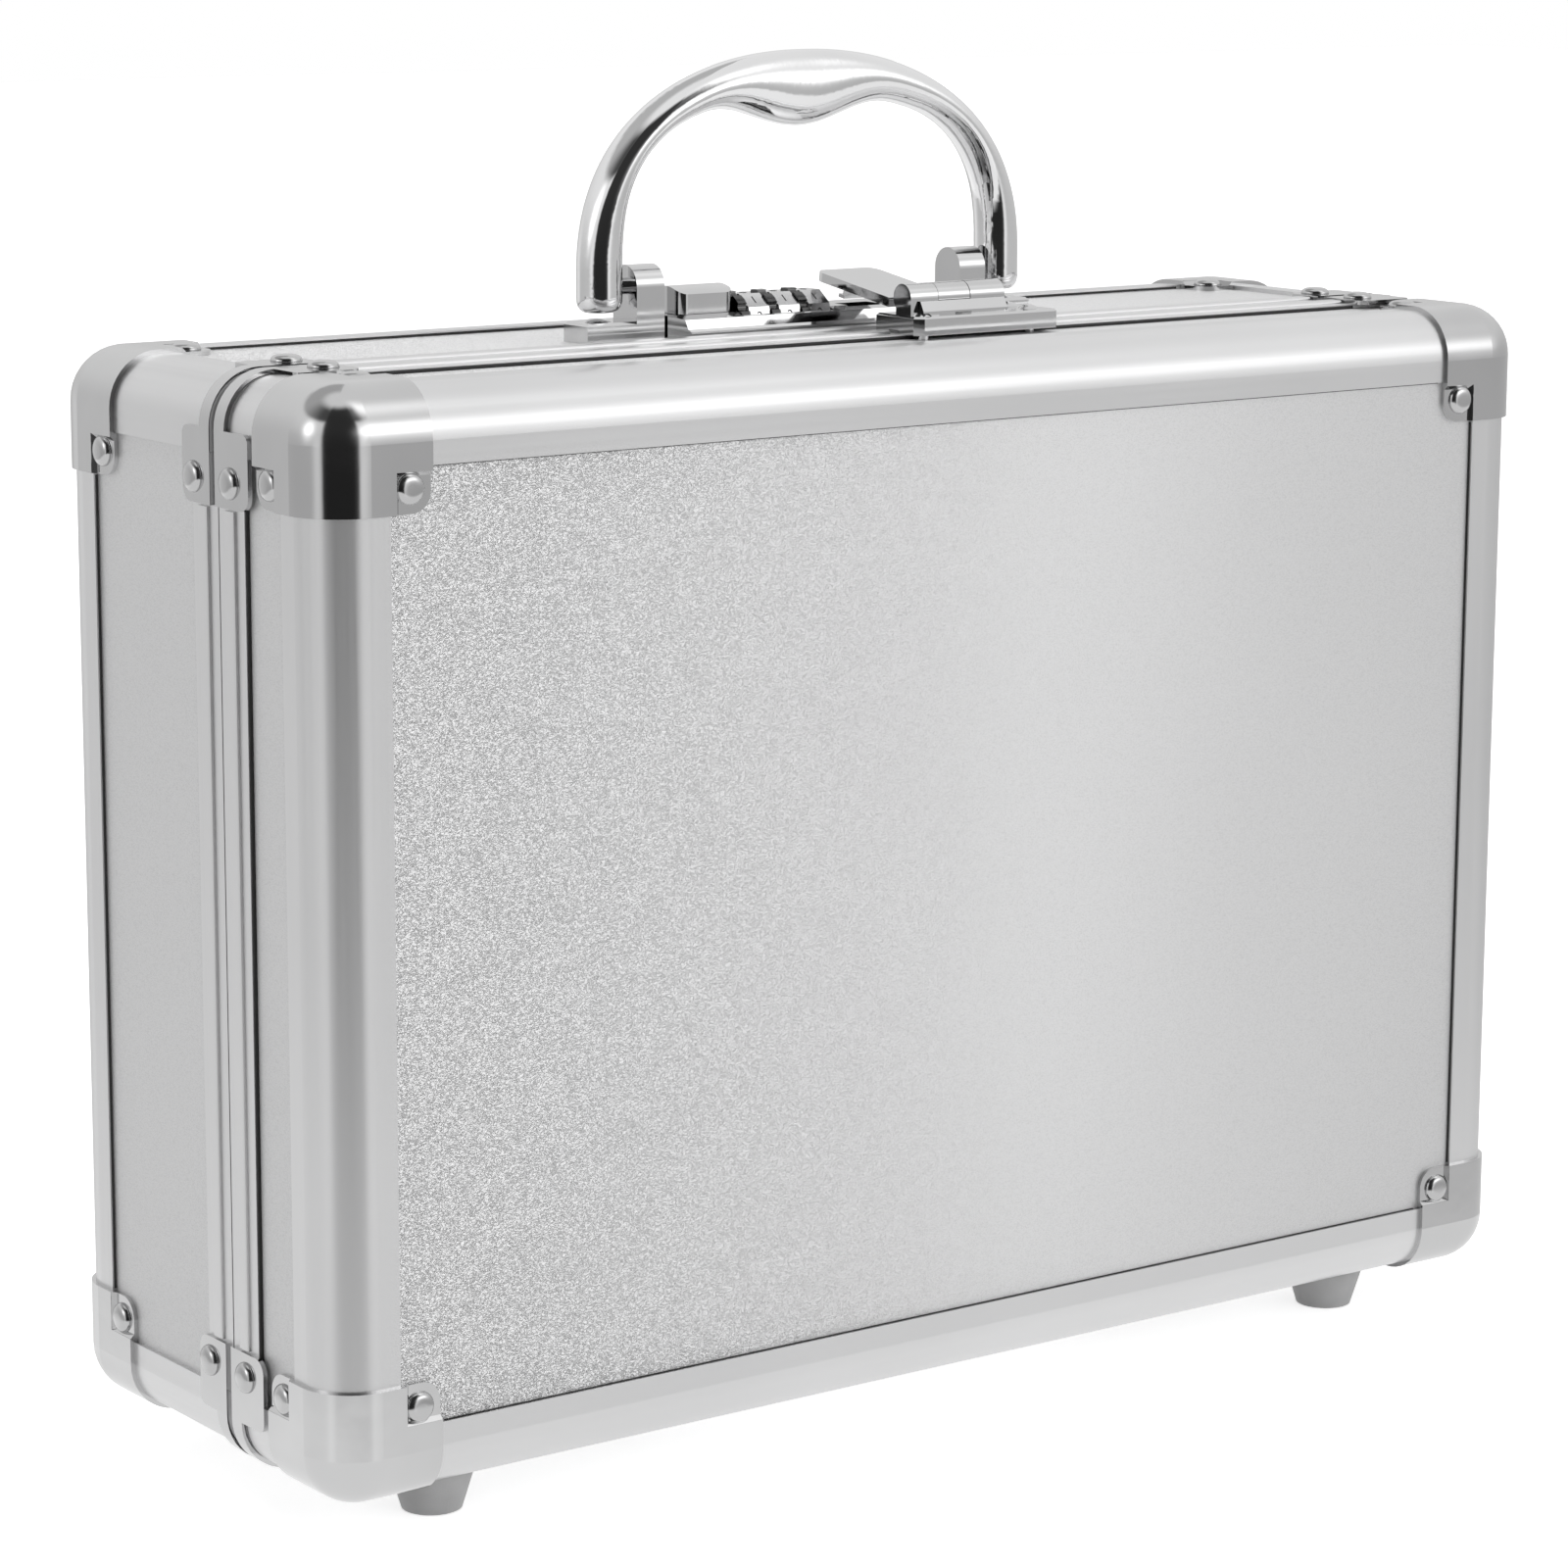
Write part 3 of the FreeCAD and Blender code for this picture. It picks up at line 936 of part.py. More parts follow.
def handle_brackets():
    """Foot plates with a round-headed post each, screwed to the top panel, and the pivot pins."""
    near, base = "(mid_y - handle_foot_d / 2)", DECK
    plate = box("bracket_plate", ("post_x", near, base), "handle_foot - post_x", "handle_foot_d",
                "handle_foot_t")
    top = size("foot_h") + size("case_h") - size("wall_t") + size("handle_foot_t")
    plate = chamfered("bracket_plate_bevel", plate, 0.6, lambda c: abs(c.z - top) < 0.01)
    post = box("bracket_post", ("post_x", near, base), "post_w", "handle_foot_d", f"{PIVOT_Z} - {base}")
    crown = cylinder("bracket_crown", ("post_x", "mid_y", PIVOT_Z), "handle_foot_d / 2", "post_w", "+x")
    pin = cylinder("pivot_pin", ("post_x + 3", "mid_y", PIVOT_Z), "handle_pin_r", "post_w + 4.6", "+x")
    at = ("handle_foot - 5.4", "mid_y", f"{base} + handle_foot_t")
    head = dome("bracket_head", at, "3.4", "0.8", "+z")
    shank = cylinder("bracket_shank", at, "shank_r", "handle_foot_t + panel_t", "-z")
    screw = fuse("bracket_screw", head, shank)
    right = cut("bracket_right", fuse("bracket_solid", plate, post, crown), pin, screw)
    node("handle_bracket_right", right)
    node("handle_bracket_left", mirror("bracket_left", right, "x"))
    node("handle_pivot_pins", left_right("handle_pivot_pins", pin))
    return node("handle_bracket_screws", left_right("handle_bracket_screws", screw))


# The whole case -----------------------------------------------------------------------------

def shells():
    """Both shells; the base's face, caps, feet and rivets mirror the lid's."""
    rivets = cap_rivets()
    rubber, screws = feet()
    base_cap_rivets = mirror("base_cap_rivets", rivets, "y")
    base_screws = mirror("base_foot_screws", screws, "y")
    caps = corner_cap(rivets)
    face = face_panel(rivets)
    lid_fixings = bracket_rivets("lid_bracket_rivets", "34.8")
    base_fixings = bracket_rivets("base_bracket_rivets", "49.8")
    hinge_rivets = hinges()
    edge_profiles()
    node("lid_face_panel", face)
    node("base_back_panel", mirror("base_back_panel", face, "y"))
    node("lid_corner_caps", caps)
    node("base_corner_caps", mirror("base_corner_caps", caps, "y"))
    node("lid_cap_rivets", rivets)
    node("base_cap_rivets", base_cap_rivets)
    node("lid_lip_brackets", lip_bracket("lid", lid_fixings))
    node("base_lip_brackets", lip_bracket("base", base_fixings))
    node("lid_bracket_rivets", lid_fixings)
    node("base_bracket_rivets", base_fixings)
    node("lid_corner_posts", lid_posts())
    node("base_corner_posts", base_posts())
    node("lid_feet", rubber)
    node("base_feet", mirror("base_feet", rubber, "y"))
    node("lid_foot_screws", screws)
    node("base_foot_screws", base_screws)
    hasp_fixings = hasp_screws()
    hasp(hasp_fixings)
    well = lock_case()
    lock_fixings = lock_screws()
    lock_plate(lock_fixings)
    handle_fixings = handle_brackets()
    lid_tools = [rivets, lid_fixings, screws, hinge_rivets["lid"]]
    base_tools = [base_cap_rivets, base_fixings, base_screws, hinge_rivets["base"]]
    side_panels("lid", lid_tools, [hasp_fixings])
    side_panels("base", base_tools, [well, lock_fixings, handle_fixings])
    node("lid_lip_rails", cut("lid_lip_rails", lip_rails("lid"), lid_fixings, hasp_fixings,
         hinge_rivets["lid"]))
    node("base_lip_rails", cut("base_lip_rails", lip_rails("base"), base_fixings, hinge_rivets["base"]))
    lining("lid", [])
    lining("base", [well, lock_fixings])


shells()
for wheel in (1, 2, 3):
    number_wheel(wheel)
release_button()
latch_bolt()
handle()
doc.recompute()

for obj in doc.Objects:
    if "Invalid" in obj.State or "Error" in obj.State:
        raise RuntimeError(f"{obj.Name} did not compute: {obj.State}")
for name, obj in NODES:
    if obj.Shape.isNull() or not obj.Shape.isValid():
        raise RuntimeError(f"{name} has no valid shape")

os.makedirs("parts", exist_ok=True)
for name, obj in NODES:
    obj.Shape.exportStep(f"parts/{name}.step")
print(len(NODES), "sub-parts written")
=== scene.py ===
"""Looks for the aluminium attache case: materials, numerals, seams, light and camera."""
import json
import math

import bpy
from mathutils import Matrix, Vector


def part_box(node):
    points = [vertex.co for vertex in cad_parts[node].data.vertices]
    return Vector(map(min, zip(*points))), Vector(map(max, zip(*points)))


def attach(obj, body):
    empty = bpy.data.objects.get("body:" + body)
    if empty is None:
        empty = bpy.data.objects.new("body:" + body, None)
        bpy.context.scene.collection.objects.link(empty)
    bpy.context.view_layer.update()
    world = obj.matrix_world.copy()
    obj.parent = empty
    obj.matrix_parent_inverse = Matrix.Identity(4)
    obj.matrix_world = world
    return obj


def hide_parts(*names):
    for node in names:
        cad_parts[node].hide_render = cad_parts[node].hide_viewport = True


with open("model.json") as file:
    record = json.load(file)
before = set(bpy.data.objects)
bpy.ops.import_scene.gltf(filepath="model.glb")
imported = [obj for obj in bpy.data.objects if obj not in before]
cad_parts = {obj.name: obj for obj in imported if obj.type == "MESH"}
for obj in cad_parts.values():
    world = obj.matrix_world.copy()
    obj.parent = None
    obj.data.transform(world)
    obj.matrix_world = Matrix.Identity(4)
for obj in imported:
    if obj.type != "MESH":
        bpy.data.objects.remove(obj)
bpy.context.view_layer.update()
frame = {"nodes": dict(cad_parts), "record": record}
MM = 0.001
WHEEL_PITCH = 8.4 * MM
WHEEL_RIM = 2.5 * MM
WHEEL_FLAT = 7.1 * MM


# Node helpers -----------------------------------------------------------------------------

class Shader:
    """A procedural material under construction: a principled shader with nodes in front of it."""

    def __init__(self, name, color, metallic, roughness):
        self.material = bpy.data.materials.new(name)
        self.material.use_nodes = True
        self.tree = self.material.node_tree
        self.bsdf = self.tree.nodes["Principled BSDF"]
        self.bsdf.inputs["Base Color"].default_value = (*color, 1)
        self.bsdf.inputs["Metallic"].default_value = metallic
        self.bsdf.inputs["Roughness"].default_value = roughness
        self.place = self.add("ShaderNodeTexCoord").outputs["Object"]

    def add(self, kind, **settings):
        node = self.tree.nodes.new(kind)
        for name, value in settings.items():
            setattr(node, name, value)
        return node

    def join(self, source, target):
        self.tree.links.new(source, target)

    def mapped(self, scale=(1, 1, 1), turn=(0, 0, 0)):
        """Object coordinates, turned and stretched."""
        node = self.add("ShaderNodeMapping")
        node.inputs["Scale"].default_value = scale
        node.inputs["Rotation"].default_value = [math.radians(a) for a in turn]
        self.join(self.place, node.inputs["Vector"])
        return node.outputs["Vector"]

    def noise(self, vector, scale, detail=2.0, distortion=0.0):
        node = self.add("ShaderNodeTexNoise")
        for name, value in (("Scale", scale), ("Detail", detail), ("Distortion", distortion)):
            node.inputs[name].default_value = value
        self.join(vector, node.inputs["Vector"])
        return node.outputs["Fac"]

    def span(self, value, low, high, to_low, to_high):
        node = self.add("ShaderNodeMapRange")
        for name, number in (("From Min", low), ("From Max", high), ("To Min", to_low), ("To Max", to_high)):
            node.inputs[name].default_value = number
        self.join(value, node.inputs["Value"])
        return node.outputs["Result"]

    def math(self, operation, first, second):
        node = self.add("ShaderNodeMath", operation=operation)
        for socket, value in zip(node.inputs, (first, second)):
            if isinstance(value, (int, float)):
                socket.default_value = value
            else:
                self.join(value, socket)
        return node.outputs[0]

    def tones(self, value, dark, light):
        """Base colour between two tones."""
        node = self.add("ShaderNodeMix", data_type="RGBA")
        node.inputs["A"].default_value = (*dark, 1)
        node.inputs["B"].default_value = (*light, 1)
        self.join(value, node.inputs["Factor"])
        self.join(node.outputs["Result"], self.bsdf.inputs["Base Color"])

    def bump(self, height, distance, strength=1.0):
        node = self.add("ShaderNodeBump")
        node.inputs["Distance"].default_value = distance
        if isinstance(strength, float):
            node.inputs["Strength"].default_value = strength
        else:
            self.join(strength, node.inputs["Strength"])
        self.join(height, node.inputs["Height"])
        self.join(node.outputs["Normal"], self.bsdf.inputs["Normal"])


def grey(level):
    return (level, level, level * 1.005)


# Materials --------------------------------------------------------------------------------

def grained_panel(name, turn, crisp, worn, painted_light_left):
    """Silver laminate with a pressed leather grain: short slanting plateaus between fine creases."""
    s = Shader(name, grey(0.75), 0.5, 0.42)
    waves = s.noise(s.mapped((1250, 1250, 2150), turn), 1.0, 1.0, 0.8)
    crease = s.math("ABSOLUTE", s.math("SUBTRACT", waves, 0.5), 0)
    plateau = s.span(crease, 0.0, 0.07, 0, 1)
    fine = s.noise(s.mapped((2900, 2900, 3600)), 1.0, 1.0)
    height = s.math("ADD", plateau, s.math("MULTIPLY", fine, 0.3))
    # The grain is crisp at the left end and shallow at the right end. The colour is painted lighter at the
    # left end and darker at the right end: painted light and shade across the panel.
    axes = s.add("ShaderNodeSeparateXYZ")
    s.join(s.place, axes.inputs[0])
    s.bump(height, 0.0008, s.span(axes.outputs["X"], -0.15, 0.08, crisp, worn))
    tone = s.span(axes.outputs["X"], -0.16, 0.16, painted_light_left, 0)
    # The plateaus are painted lighter and the creases darker: painted shade in the grain's creases.
    s.tones(s.math("ADD", tone, s.span(height, 0.3, 1.1, 0, 0.2)), grey(0.61), grey(1.0))
    s.join(s.span(s.noise(s.place, 14, 2), 0.35, 0.65, 0.39, 0.45), s.bsdf.inputs["Roughness"])
    return s.material


def anodised(name, along):
    """Satin anodised aluminium with faint drawing lines along the profile."""
    s = Shader(name, grey(0.74), 0.88, 0.38)
    stretch = {"x": (6, 900, 900), "y": (900, 6, 900), "z": (900, 900, 6)}[along]
    lines = s.noise(s.mapped(stretch), 1.0, 3.0)
    s.join(s.span(lines, 0.3, 0.7, 0.29, 0.36), s.bsdf.inputs["Roughness"])
    s.tones(s.span(s.noise(s.place, 9, 2), 0.3, 0.7, 0, 1), grey(0.70), grey(0.76))
    s.bump(lines, 0.00001, 0.25)
    return s.material


def plated(name, tone, roughness, wobble=0.0):
    """Polished plate with soft handling marks and, on pressed sheet, a slightly wavy surface."""
    s = Shader(name, grey(tone), 1.0, roughness)
    smudges = s.noise(s.place, 60, 4)
    s.join(s.span(smudges, 0.35, 0.75, roughness * 0.75, roughness * 1.7), s.bsdf.inputs["Roughness"])
    s.tones(s.span(s.noise(s.place, 25, 3), 0.3, 0.7, 0, 1), grey(tone * 0.95), grey(tone * 1.04))
    if wobble:
        s.bump(s.noise(s.place, 130, 1.5), wobble, 0.6)
    return s.material


def wheel_metal():
    """Number wheels: bright facets beside a notched rim that is painted near black as shade in its notches.
    """
    s = Shader("wheel_metal", grey(0.7), 1.0, 0.12)
    axes = s.add("ShaderNodeSeparateXYZ")
    s.join(s.place, axes.inputs[0])
    # Whole pitches are added so that the count of pitches stays positive along the lock.
    first_rim = 22.2 * MM
    along = s.math("ADD", axes.outputs["X"], 10 * WHEEL_PITCH + first_rim)
    share = s.math("FRACT", s.math("DIVIDE", along, WHEEL_PITCH), 0)
    # The rim's part of each pitch is painted near black: painted shade in the notched rim.
    s.tones(s.span(share, 0.27, 0.31, 0, 1), grey(0.10), grey(0.72))
    s.join(s.span(s.noise(s.place, 300, 3), 0.3, 0.7, 0.08, 0.2), s.bsdf.inputs["Roughness"])
    return s.material


def moulded_rubber():
    s = Shader("grey_rubber", grey(0.52), 0.0, 0.62)
    speckle = s.noise(s.place, 2600, 2)
    s.tones(s.span(s.noise(s.place, 90, 3), 0.3, 0.7, 0, 1), grey(0.48), grey(0.56))
    s.bump(speckle, 0.00005, 0.5)
    return s.material


def lining_cloth():
    s = Shader("lining_cloth", grey(0.03), 0.0, 0.9)
    weave = s.add("ShaderNodeTexVoronoi", feature="F1")
    weave.inputs["Scale"].default_value = 1400
    s.join(s.place, weave.inputs["Vector"])
    s.bump(weave.outputs["Distance"], 0.0002, 0.6)
    s.tones(s.span(s.noise(s.place, 40, 3), 0.3, 0.7, 0, 1), grey(0.022), grey(0.04))
    s.bsdf.inputs["Sheen Weight"].default_value = 0.4
    return s.material


def dark_gasket():
    # Near-black colour for the seam strips: painted shade in the gaps between panels and profiles.
    s = Shader("painted_seam_shade", grey(0.012), 0.0, 0.55)
    s.tones(s.noise(s.place, 200, 2), grey(0.008), grey(0.016))
    return s.material


def mark_paint():
    s = Shader("mark_paint", grey(0.02), 0.0, 0.5)
    s.tones(s.noise(s.place, 900, 2), grey(0.012), grey(0.035))
    return s.material


GRAIN_FRONT = grained_panel("grain_front", (0, 28, 0), 0.9, 0.05, 0.8)
GRAIN_SIDE = grained_panel("grain_side", (28, 0, 0), 0.04, 0.04, 0.0)
ALONG = {axis: anodised("anodised_" + axis, axis) for axis in "xyz"}
NICKEL = plated("nickel_plate", 0.60, 0.09, 0.00005)
RIVET = plated("rivet_nickel", 0.55, 0.13)
CHROME = plated("bright_chrome", 0.64, 0.07, 0.00002)
WHEEL = wheel_metal()
HANDLE_CHROME = plated("handle_chrome", 0.82, 0.045)
ZINC = plated("zinc_plate", 0.50, 0.35, 0.0001)
RUBBER = moulded_rubber()
CLOTH = lining_cloth()
SEAM_SHADE = dark_gasket()
PAINT = mark_paint()

BY_SLOT = {"panel": GRAIN_FRONT, "profile": ALONG["x"], "nickel_steel": NICKEL, "rivet": RIVET,
           "lining": CLOTH, "rubber": RUBBER, "chrome": CHROME, "handle_chrome": HANDLE_CHROME,
           "wheel": WHEEL, "zinc_plate": ZINC}


def paint(obj, material):
    obj.data.materials.clear()
    obj.data.materials.append(material)


for part in frame["record"]["subparts"]:
    name, obj = part["node"], frame["nodes"][part["node"]]
    material = BY_SLOT[part["material_slot"]]
    if name.endswith(("left_panel", "right_panel")):
        material = GRAIN_SIDE
    elif name.endswith(("edge_left", "edge_right")):
        material = ALONG["z"]
    elif name.endswith("corner_posts"):
        material = ALONG["y"]
    paint(obj, material)


# Painted shade in the seams between panels, profiles and rails -------------------------------------------

def bead(name, start, end, across, up, body):
    """A strip of painted shade for a seam gap: a dark, flattened eight-sided strand between two points."""
    start, end, across, up = (Vector(v) * MM for v in (start, end, across, up))
    ring = [across * math.cos(math.pi * k / 4) + up * math.sin(math.pi * k / 4) for k in range(8)]
    verts = [point + offset for point in (start, end) for offset in ring]
    faces = [(k, (k + 1) % 8, 8 + (k + 1) % 8, 8 + k) for k in range(8)]
    faces += [tuple(range(7, -1, -1)), tuple(range(8, 16))]
    data = bpy.data.meshes.new(name)
    data.from_pydata(verts, [], faces)
    obj = bpy.data.objects.new(name, data)
    bpy.context.scene.collection.objects.link(obj)
    paint(obj, SEAM_SHADE)
    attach(obj, body)


def seams():
    """Dark strips of painted shade in the gaps where a panel meets a profile's flange or a lip rail."""
    run_x, run_z, low_z, high_z = 138, (36.5, 217), 10.5, 243
    for body, way in (("lid", -1), ("base", 1)):
        face = way * 54.65
        upright = [(148.9, face, z) for z in run_z]
        bead(f"{body}_seam_right", *upright, (0.2, 0, 0), (0, 0.3, 0), body)
        for edge, z, thick in (("top", 226.9, 0.17), ("bottom", 26.6, 0.10)):
            level = [(x, face, z) for x in (-run_x, run_x)]
            bead(f"{body}_seam_{edge}", *level, (0, 0, thick), (0, 0.3, 0), body)
    for side, x in (("left", -164.35), ("right", 164.35)):
        bead(f"base_{side}_seam", (x, 39.4, run_z[0]), (x, 39.4, run_z[1]), (0, 0.2, 0), (0.26, 0, 0), "base")
        bead(f"lid_{side}_seam", (x, -25.0, run_z[0]), (x, -25.0, run_z[1]), (0, 0.22, 0), (0.4, 0, 0), "lid")
    for side, z in (("top", high_z - 0.65), ("bottom", low_z + 0.65)):
        bead(f"base_{side}_seam", (-run_x, 39.4, z), (run_x, 39.4, z), (0, 0.2, 0), (0, 0, 0.28), "base")
        bead(f"lid_{side}_seam", (-run_x, -25.0, z), (run_x, -25.0, z), (0, 0.22, 0), (0, 0, 0.4), "lid")


seams()


# Rivets ------------------------------------------------------------------------------------------

def solid(name, verts, faces, body, slot, material, *nodes):
    """A smooth-shaded mesh, in millimetres, that stands for CAD nodes."""
    data = bpy.data.meshes.new(name)
    data.from_pydata([Vector(v) * MM for v in verts], [], faces)
    data.polygons.foreach_set("use_smooth", [True] * len(data.polygons))
    obj = bpy.data.objects.new(name, data)
    bpy.context.scene.collection.objects.link(obj)
    paint(obj, material)
    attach(obj, body)
    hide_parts(*nodes)
    return obj


def rivet_heads(body, node, seats, grip):
    """Set rivets: a flat-topped head with a steep round rim, and its shank through the sheets."""
    head, rise, shank, sides = 3.4, 1.4, 1.5, 28
    rim = [0, 0.3, 0.5, 0.65, 0.76, 0.85, 0.91, 0.955, 0.985, 1]
    outline = [(head * t, rise * (1 - t ** 4) ** 0.55) for t in rim]
    outline += [(shank, 0), (shank, -grip), (0, -grip)]
    verts, faces = [], []
    for seat, out in seats:
        out = Vector(out)
        side = Vector((0, 0, 1)) if abs(out.z) < 0.5 else Vector((1, 0, 0))
        other = out.cross(side)
        start = len(verts)
        for radius, level in outline:
            for k in range(sides):
                turn = 2 * math.pi * k / sides
                spoke = side * math.cos(turn) + other * math.sin(turn)
                verts.append(Vector(seat) + spoke * radius + out * level)
        for row in range(len(outline) - 1):
            for k in range(sides):
                a, b = start + row * sides + k, start + row * sides + (k + 1) % sides
                faces.append((a, a + sides, b + sides, b))
    solid(f"{node}_set", verts, faces, body, "rivet", RIVET, node)


def all_rivets():
    low, high = 10.5, 243.0
    for body, way in (("lid", -1), ("base", 1)):
        caps, brackets = [], []
        depth = -20.7 if way < 0 else -5.7
        for sx in (-1, 1):
            for z, up in ((low, 1), (high, -1)):
                near = z + up * 20.4
                caps.append(((sx * 144.6, way * 55.5, near), (0, way, 0)))
                caps.append(((sx * 165, way * 35.1, near), (sx, 0, 0)))
                caps.append(((sx * 144.6, way * 35.1, z), (0, 0, -up)))
                brackets.append(((sx * 166, depth, z + up * 21.5), (sx, 0, 0)))
                brackets.append(((sx * 143.5, depth, z - up), (0, 0, -up)))
        rivet_heads(body, f"{body}_cap_rivets", caps, 4)
        rivet_heads(body, f"{body}_bracket_rivets", brackets, 5)


all_rivets()


# Numerals on the wheels ---------------------------------------------------------------------

def digit(wheel, number, axis_y, axis_z, middle_x, radius, angle):
    """One painted numeral lying on a facet; angle is the facet's normal, from +Y towards +Z."""
    curve = bpy.data.curves.new(f"digit_{wheel}_{number}", "FONT")
    curve.body = str(number)
    curve.size = 3.1 * MM
    curve.align_x = "CENTER"
    curve.align_y = "CENTER"
    curve.extrude = 0.04 * MM
    obj = bpy.data.objects.new(f"wheel_{wheel}_numeral_{number}", curve)
    bpy.context.scene.collection.objects.link(obj)
    normal = Vector((0, math.cos(angle), math.sin(angle)))
    across = Vector((1, 0, 0))
    up = normal.cross(across)
    obj.matrix_world = Matrix((across, up, normal)).transposed().to_4x4()
    obj.location = Vector((middle_x, axis_y, axis_z)) + normal * radius
    obj.data.materials.append(PAINT)
    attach(obj, f"wheel_{wheel}")


for wheel in (1, 2, 3):
    low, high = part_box(f"number_wheel_{wheel}")
    centre = [(a + b) / 2 for a, b in zip(low, high)]
    for number in range(10):
        digit(wheel, number, centre[1], centre[2], (low[0] + WHEEL_RIM + high[0]) / 2, WHEEL_FLAT,
              math.radians(126 + 36 * (number - 1)))


# Floor, light and camera ----------------------------------------------------------------------

def stage_plane(name, size, location):
    mesh = bpy.data.meshes.new(name)
    half = size / 2
    mesh.from_pydata([(-half, -half, 0), (half, -half, 0), (half, half, 0), (-half, half, 0)], [],
                     [(0, 1, 2, 3)])
    obj = bpy.data.objects.new(name, mesh)
    obj.location = location
    bpy.context.scene.collection.objects.link(obj)
    return obj


def floor():
    plane = stage_plane("floor", 12, (0, 0, -0.0002))
    plane.visible_glossy = False
    s = Shader("pale_floor", (0.86, 0.86, 0.86), 0.0, 0.7)
    s.tones(s.noise(s.place, 3, 2), (0.84, 0.84, 0.84), (0.87, 0.87, 0.87))
    view = s.add("ShaderNodeLightPath")
    s.join(s.math("MULTIPLY", view.outputs["Is Camera Ray"], 0.62), s.bsdf.inputs["Emission Strength"])
    s.bsdf.inputs["Emission Color"].default_value = (1, 1, 1, 1)
    paint(plane, s.material)


def softbox(name, azimuth, elevation, distance, size, energy):
    """An area light that looks at the case. Azimuth 0 is in front of the lid, positive to the right."""
    light = bpy.data.lights.new(name, "AREA")
    light.shape = "RECTANGLE"
    light.size, light.size_y = size
    light.energy = energy
    obj = bpy.data.objects.new(name, light)
    a, e = math.radians(azimuth), math.radians(elevation)
    target = Vector((0, 0, 0.13))
    way = Vector((math.sin(a) * math.cos(e), -math.cos(a) * math.cos(e), math.sin(e)))
    obj.location = target + way * distance
    obj.rotation_mode = "QUATERNION"
    obj.rotation_quaternion = (-way).to_track_quat("-Z", "Y")
    bpy.context.scene.collection.objects.link(obj)
    obj.visible_glossy = False


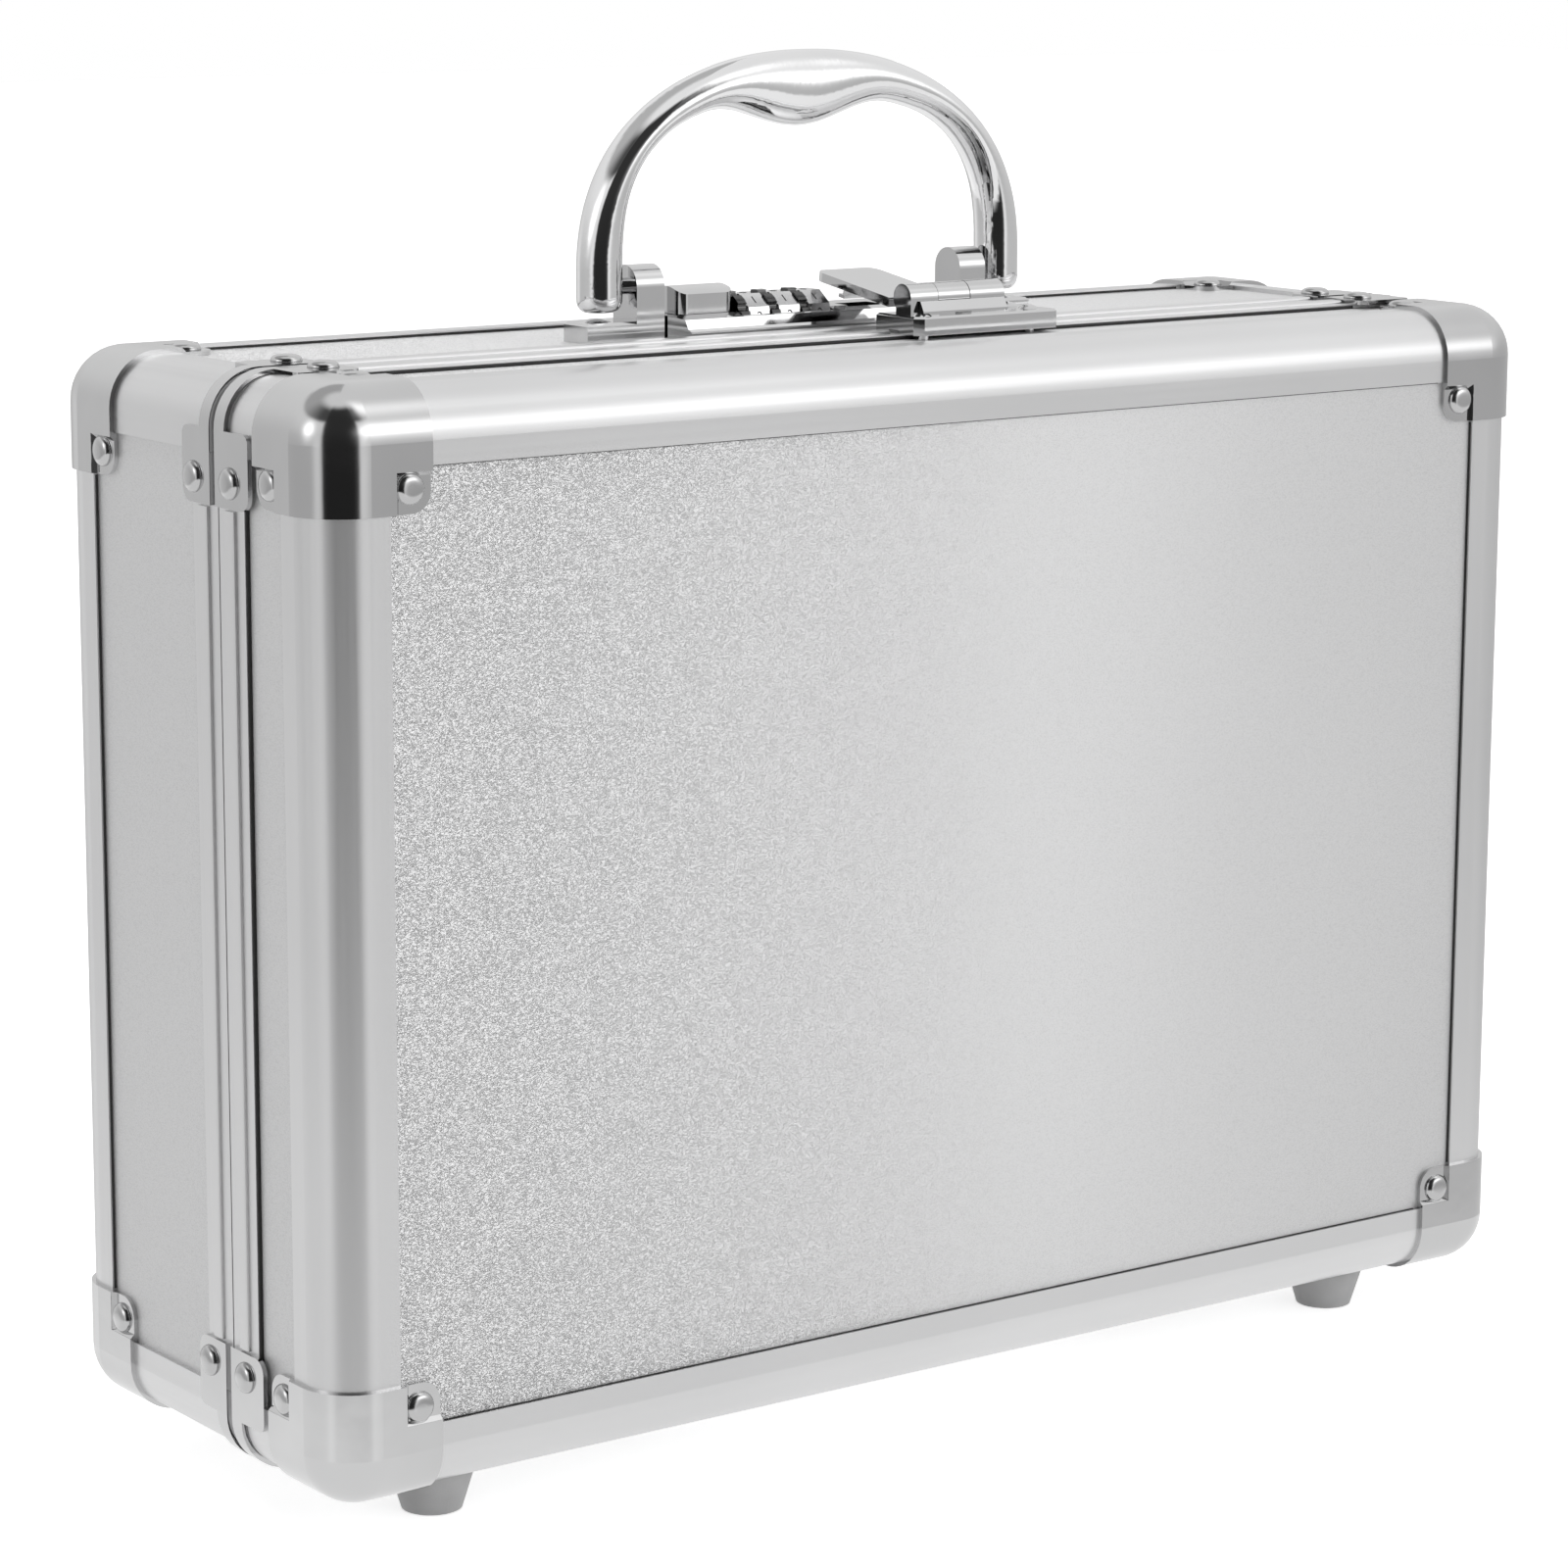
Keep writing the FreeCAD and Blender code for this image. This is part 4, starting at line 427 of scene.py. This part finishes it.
def surroundings():
    """White room with a dark gap around the camera, a dark band above it, and soft lamps."""
    world = bpy.data.worlds.new("studio")
    bpy.context.scene.world = world
    world.use_nodes = True
    tree = world.node_tree
    nodes, links = tree.nodes, tree.links
    background = nodes["Background"]

    def calc(operation, *values):
        node = nodes.new("ShaderNodeMath")
        node.operation = operation
        for socket, value in zip(node.inputs, values):
            if isinstance(value, (int, float)):
                socket.default_value = value
            else:
                links.new(value, socket)
        return node.outputs[0]

    def smooth(value, low, high, to_low, to_high):
        node = nodes.new("ShaderNodeMapRange")
        node.interpolation_type = "SMOOTHSTEP"
        for name, number in (("From Min", low), ("From Max", high), ("To Min", to_low), ("To Max", to_high)):
            node.inputs[name].default_value = number
        links.new(value, node.inputs["Value"])
        return node.outputs["Result"]

    split = nodes.new("ShaderNodeSeparateXYZ")
    links.new(nodes.new("ShaderNodeTexCoord").outputs["Generated"], split.inputs[0])
    x, y, z = split.outputs
    # Azimuth of the ray from the camera's side of the room, in degrees, positive to the right.
    front = (math.sin(CAMERA_YAW), math.cos(CAMERA_YAW))
    ahead = calc("ADD", calc("MULTIPLY", x, -front[0]), calc("MULTIPLY", y, -front[1]))
    side = calc("ADD", calc("MULTIPLY", x, front[1]), calc("MULTIPLY", y, -front[0]))
    azimuth = calc("MULTIPLY", calc("ARCTAN2", side, ahead), 180 / math.pi)
    elevation = calc("MULTIPLY", calc("ARCSINE", z), 180 / math.pi)
    level = smooth(elevation, -12, 30, 0.54, 0.88)
    gap = calc("MULTIPLY", smooth(azimuth, -34, -26, 0, 1), smooth(azimuth, 39, 47, 1, 0))
    gap = calc("MULTIPLY", gap, smooth(elevation, 64, 78, 1, 0))
    band = calc("MULTIPLY", smooth(elevation, 34, 42, 0, 1), smooth(elevation, 60, 76, 1, 0))
    band = calc("MULTIPLY", band, smooth(azimuth, 50, 78, 1, 0))
    band = calc("MULTIPLY", band, smooth(azimuth, -110, -40, 0.45, 0.95))
    room = calc("MULTIPLY", level, calc("SUBTRACT", 1, calc("MULTIPLY", calc("MAXIMUM", gap, band), 0.96)))
    ground = smooth(elevation, -19, -13, 1, 0)
    light = calc("ADD", calc("MULTIPLY", room, calc("SUBTRACT", 1, ground)), calc("MULTIPLY", ground, 0.95))

    def glow(at, width, up, height, strength):
        """A soft-edged lamp in the room."""
        far = calc("POWER", calc("DIVIDE", calc("SUBTRACT", azimuth, at), width), 2)
        high = calc("POWER", calc("DIVIDE", calc("SUBTRACT", elevation, up), height), 2)
        return calc("MULTIPLY", calc("EXPONENT", calc("MULTIPLY", calc("ADD", far, high), -1)), strength)

    for lamp in ((66, 20, 18, 10, 1.9), (-62, 11, 20, 11, 1.8), (50, 9, -4, 14, 0.35), (-40, 9, -4, 14, 0.3),
                 (-128, 16, -8, 14, 0.3), (78, 22, 58, 14, 0.85)):
        light = calc("ADD", light, glow(*lamp))
    camera_ray = nodes.new("ShaderNodeLightPath").outputs["Is Camera Ray"]
    strength = calc("MAXIMUM", light, camera_ray)
    links.new(strength, background.inputs["Strength"])
    background.inputs["Color"].default_value = (1, 1, 1, 1)


CAMERA_YAW, CAMERA_DOWN, CAMERA_ROLL = 0.6307, 0.1902, 0.0040


def camera():
    """A long lens from the left of the lid, a little above the handle."""
    data = bpy.data.cameras.new("camera")
    data.sensor_width = 36
    data.lens = 109.8
    obj = bpy.data.objects.new("camera", data)
    look = Vector((math.sin(CAMERA_YAW) * math.cos(CAMERA_DOWN),
                   math.cos(CAMERA_YAW) * math.cos(CAMERA_DOWN), -math.sin(CAMERA_DOWN)))
    right = Vector((math.cos(CAMERA_YAW), -math.sin(CAMERA_YAW), 0))
    up = right.cross(look)
    c, s = math.cos(CAMERA_ROLL), math.sin(CAMERA_ROLL)
    across, above = right * c + up * s, up * c - right * s
    turn = Matrix((across, above, -look)).transposed().to_4x4()
    obj.matrix_world = Matrix.Translation((-0.64425, -0.8672, 0.34576)) @ turn
    data.clip_start, data.clip_end = 0.05, 30
    bpy.context.scene.collection.objects.link(obj)
    bpy.context.scene.camera = obj


surroundings()
floor()
camera()
softbox("left_box", -98, 20, 1.5, (0.6, 0.6), 0.25)
softbox("front_box", -8, 24, 1.6, (1.1, 0.6), 4.5)
softbox("top_box", 190, 75, 1.5, (1.6, 1.2), 13)
bpy.context.scene.view_settings.view_transform = "Standard"
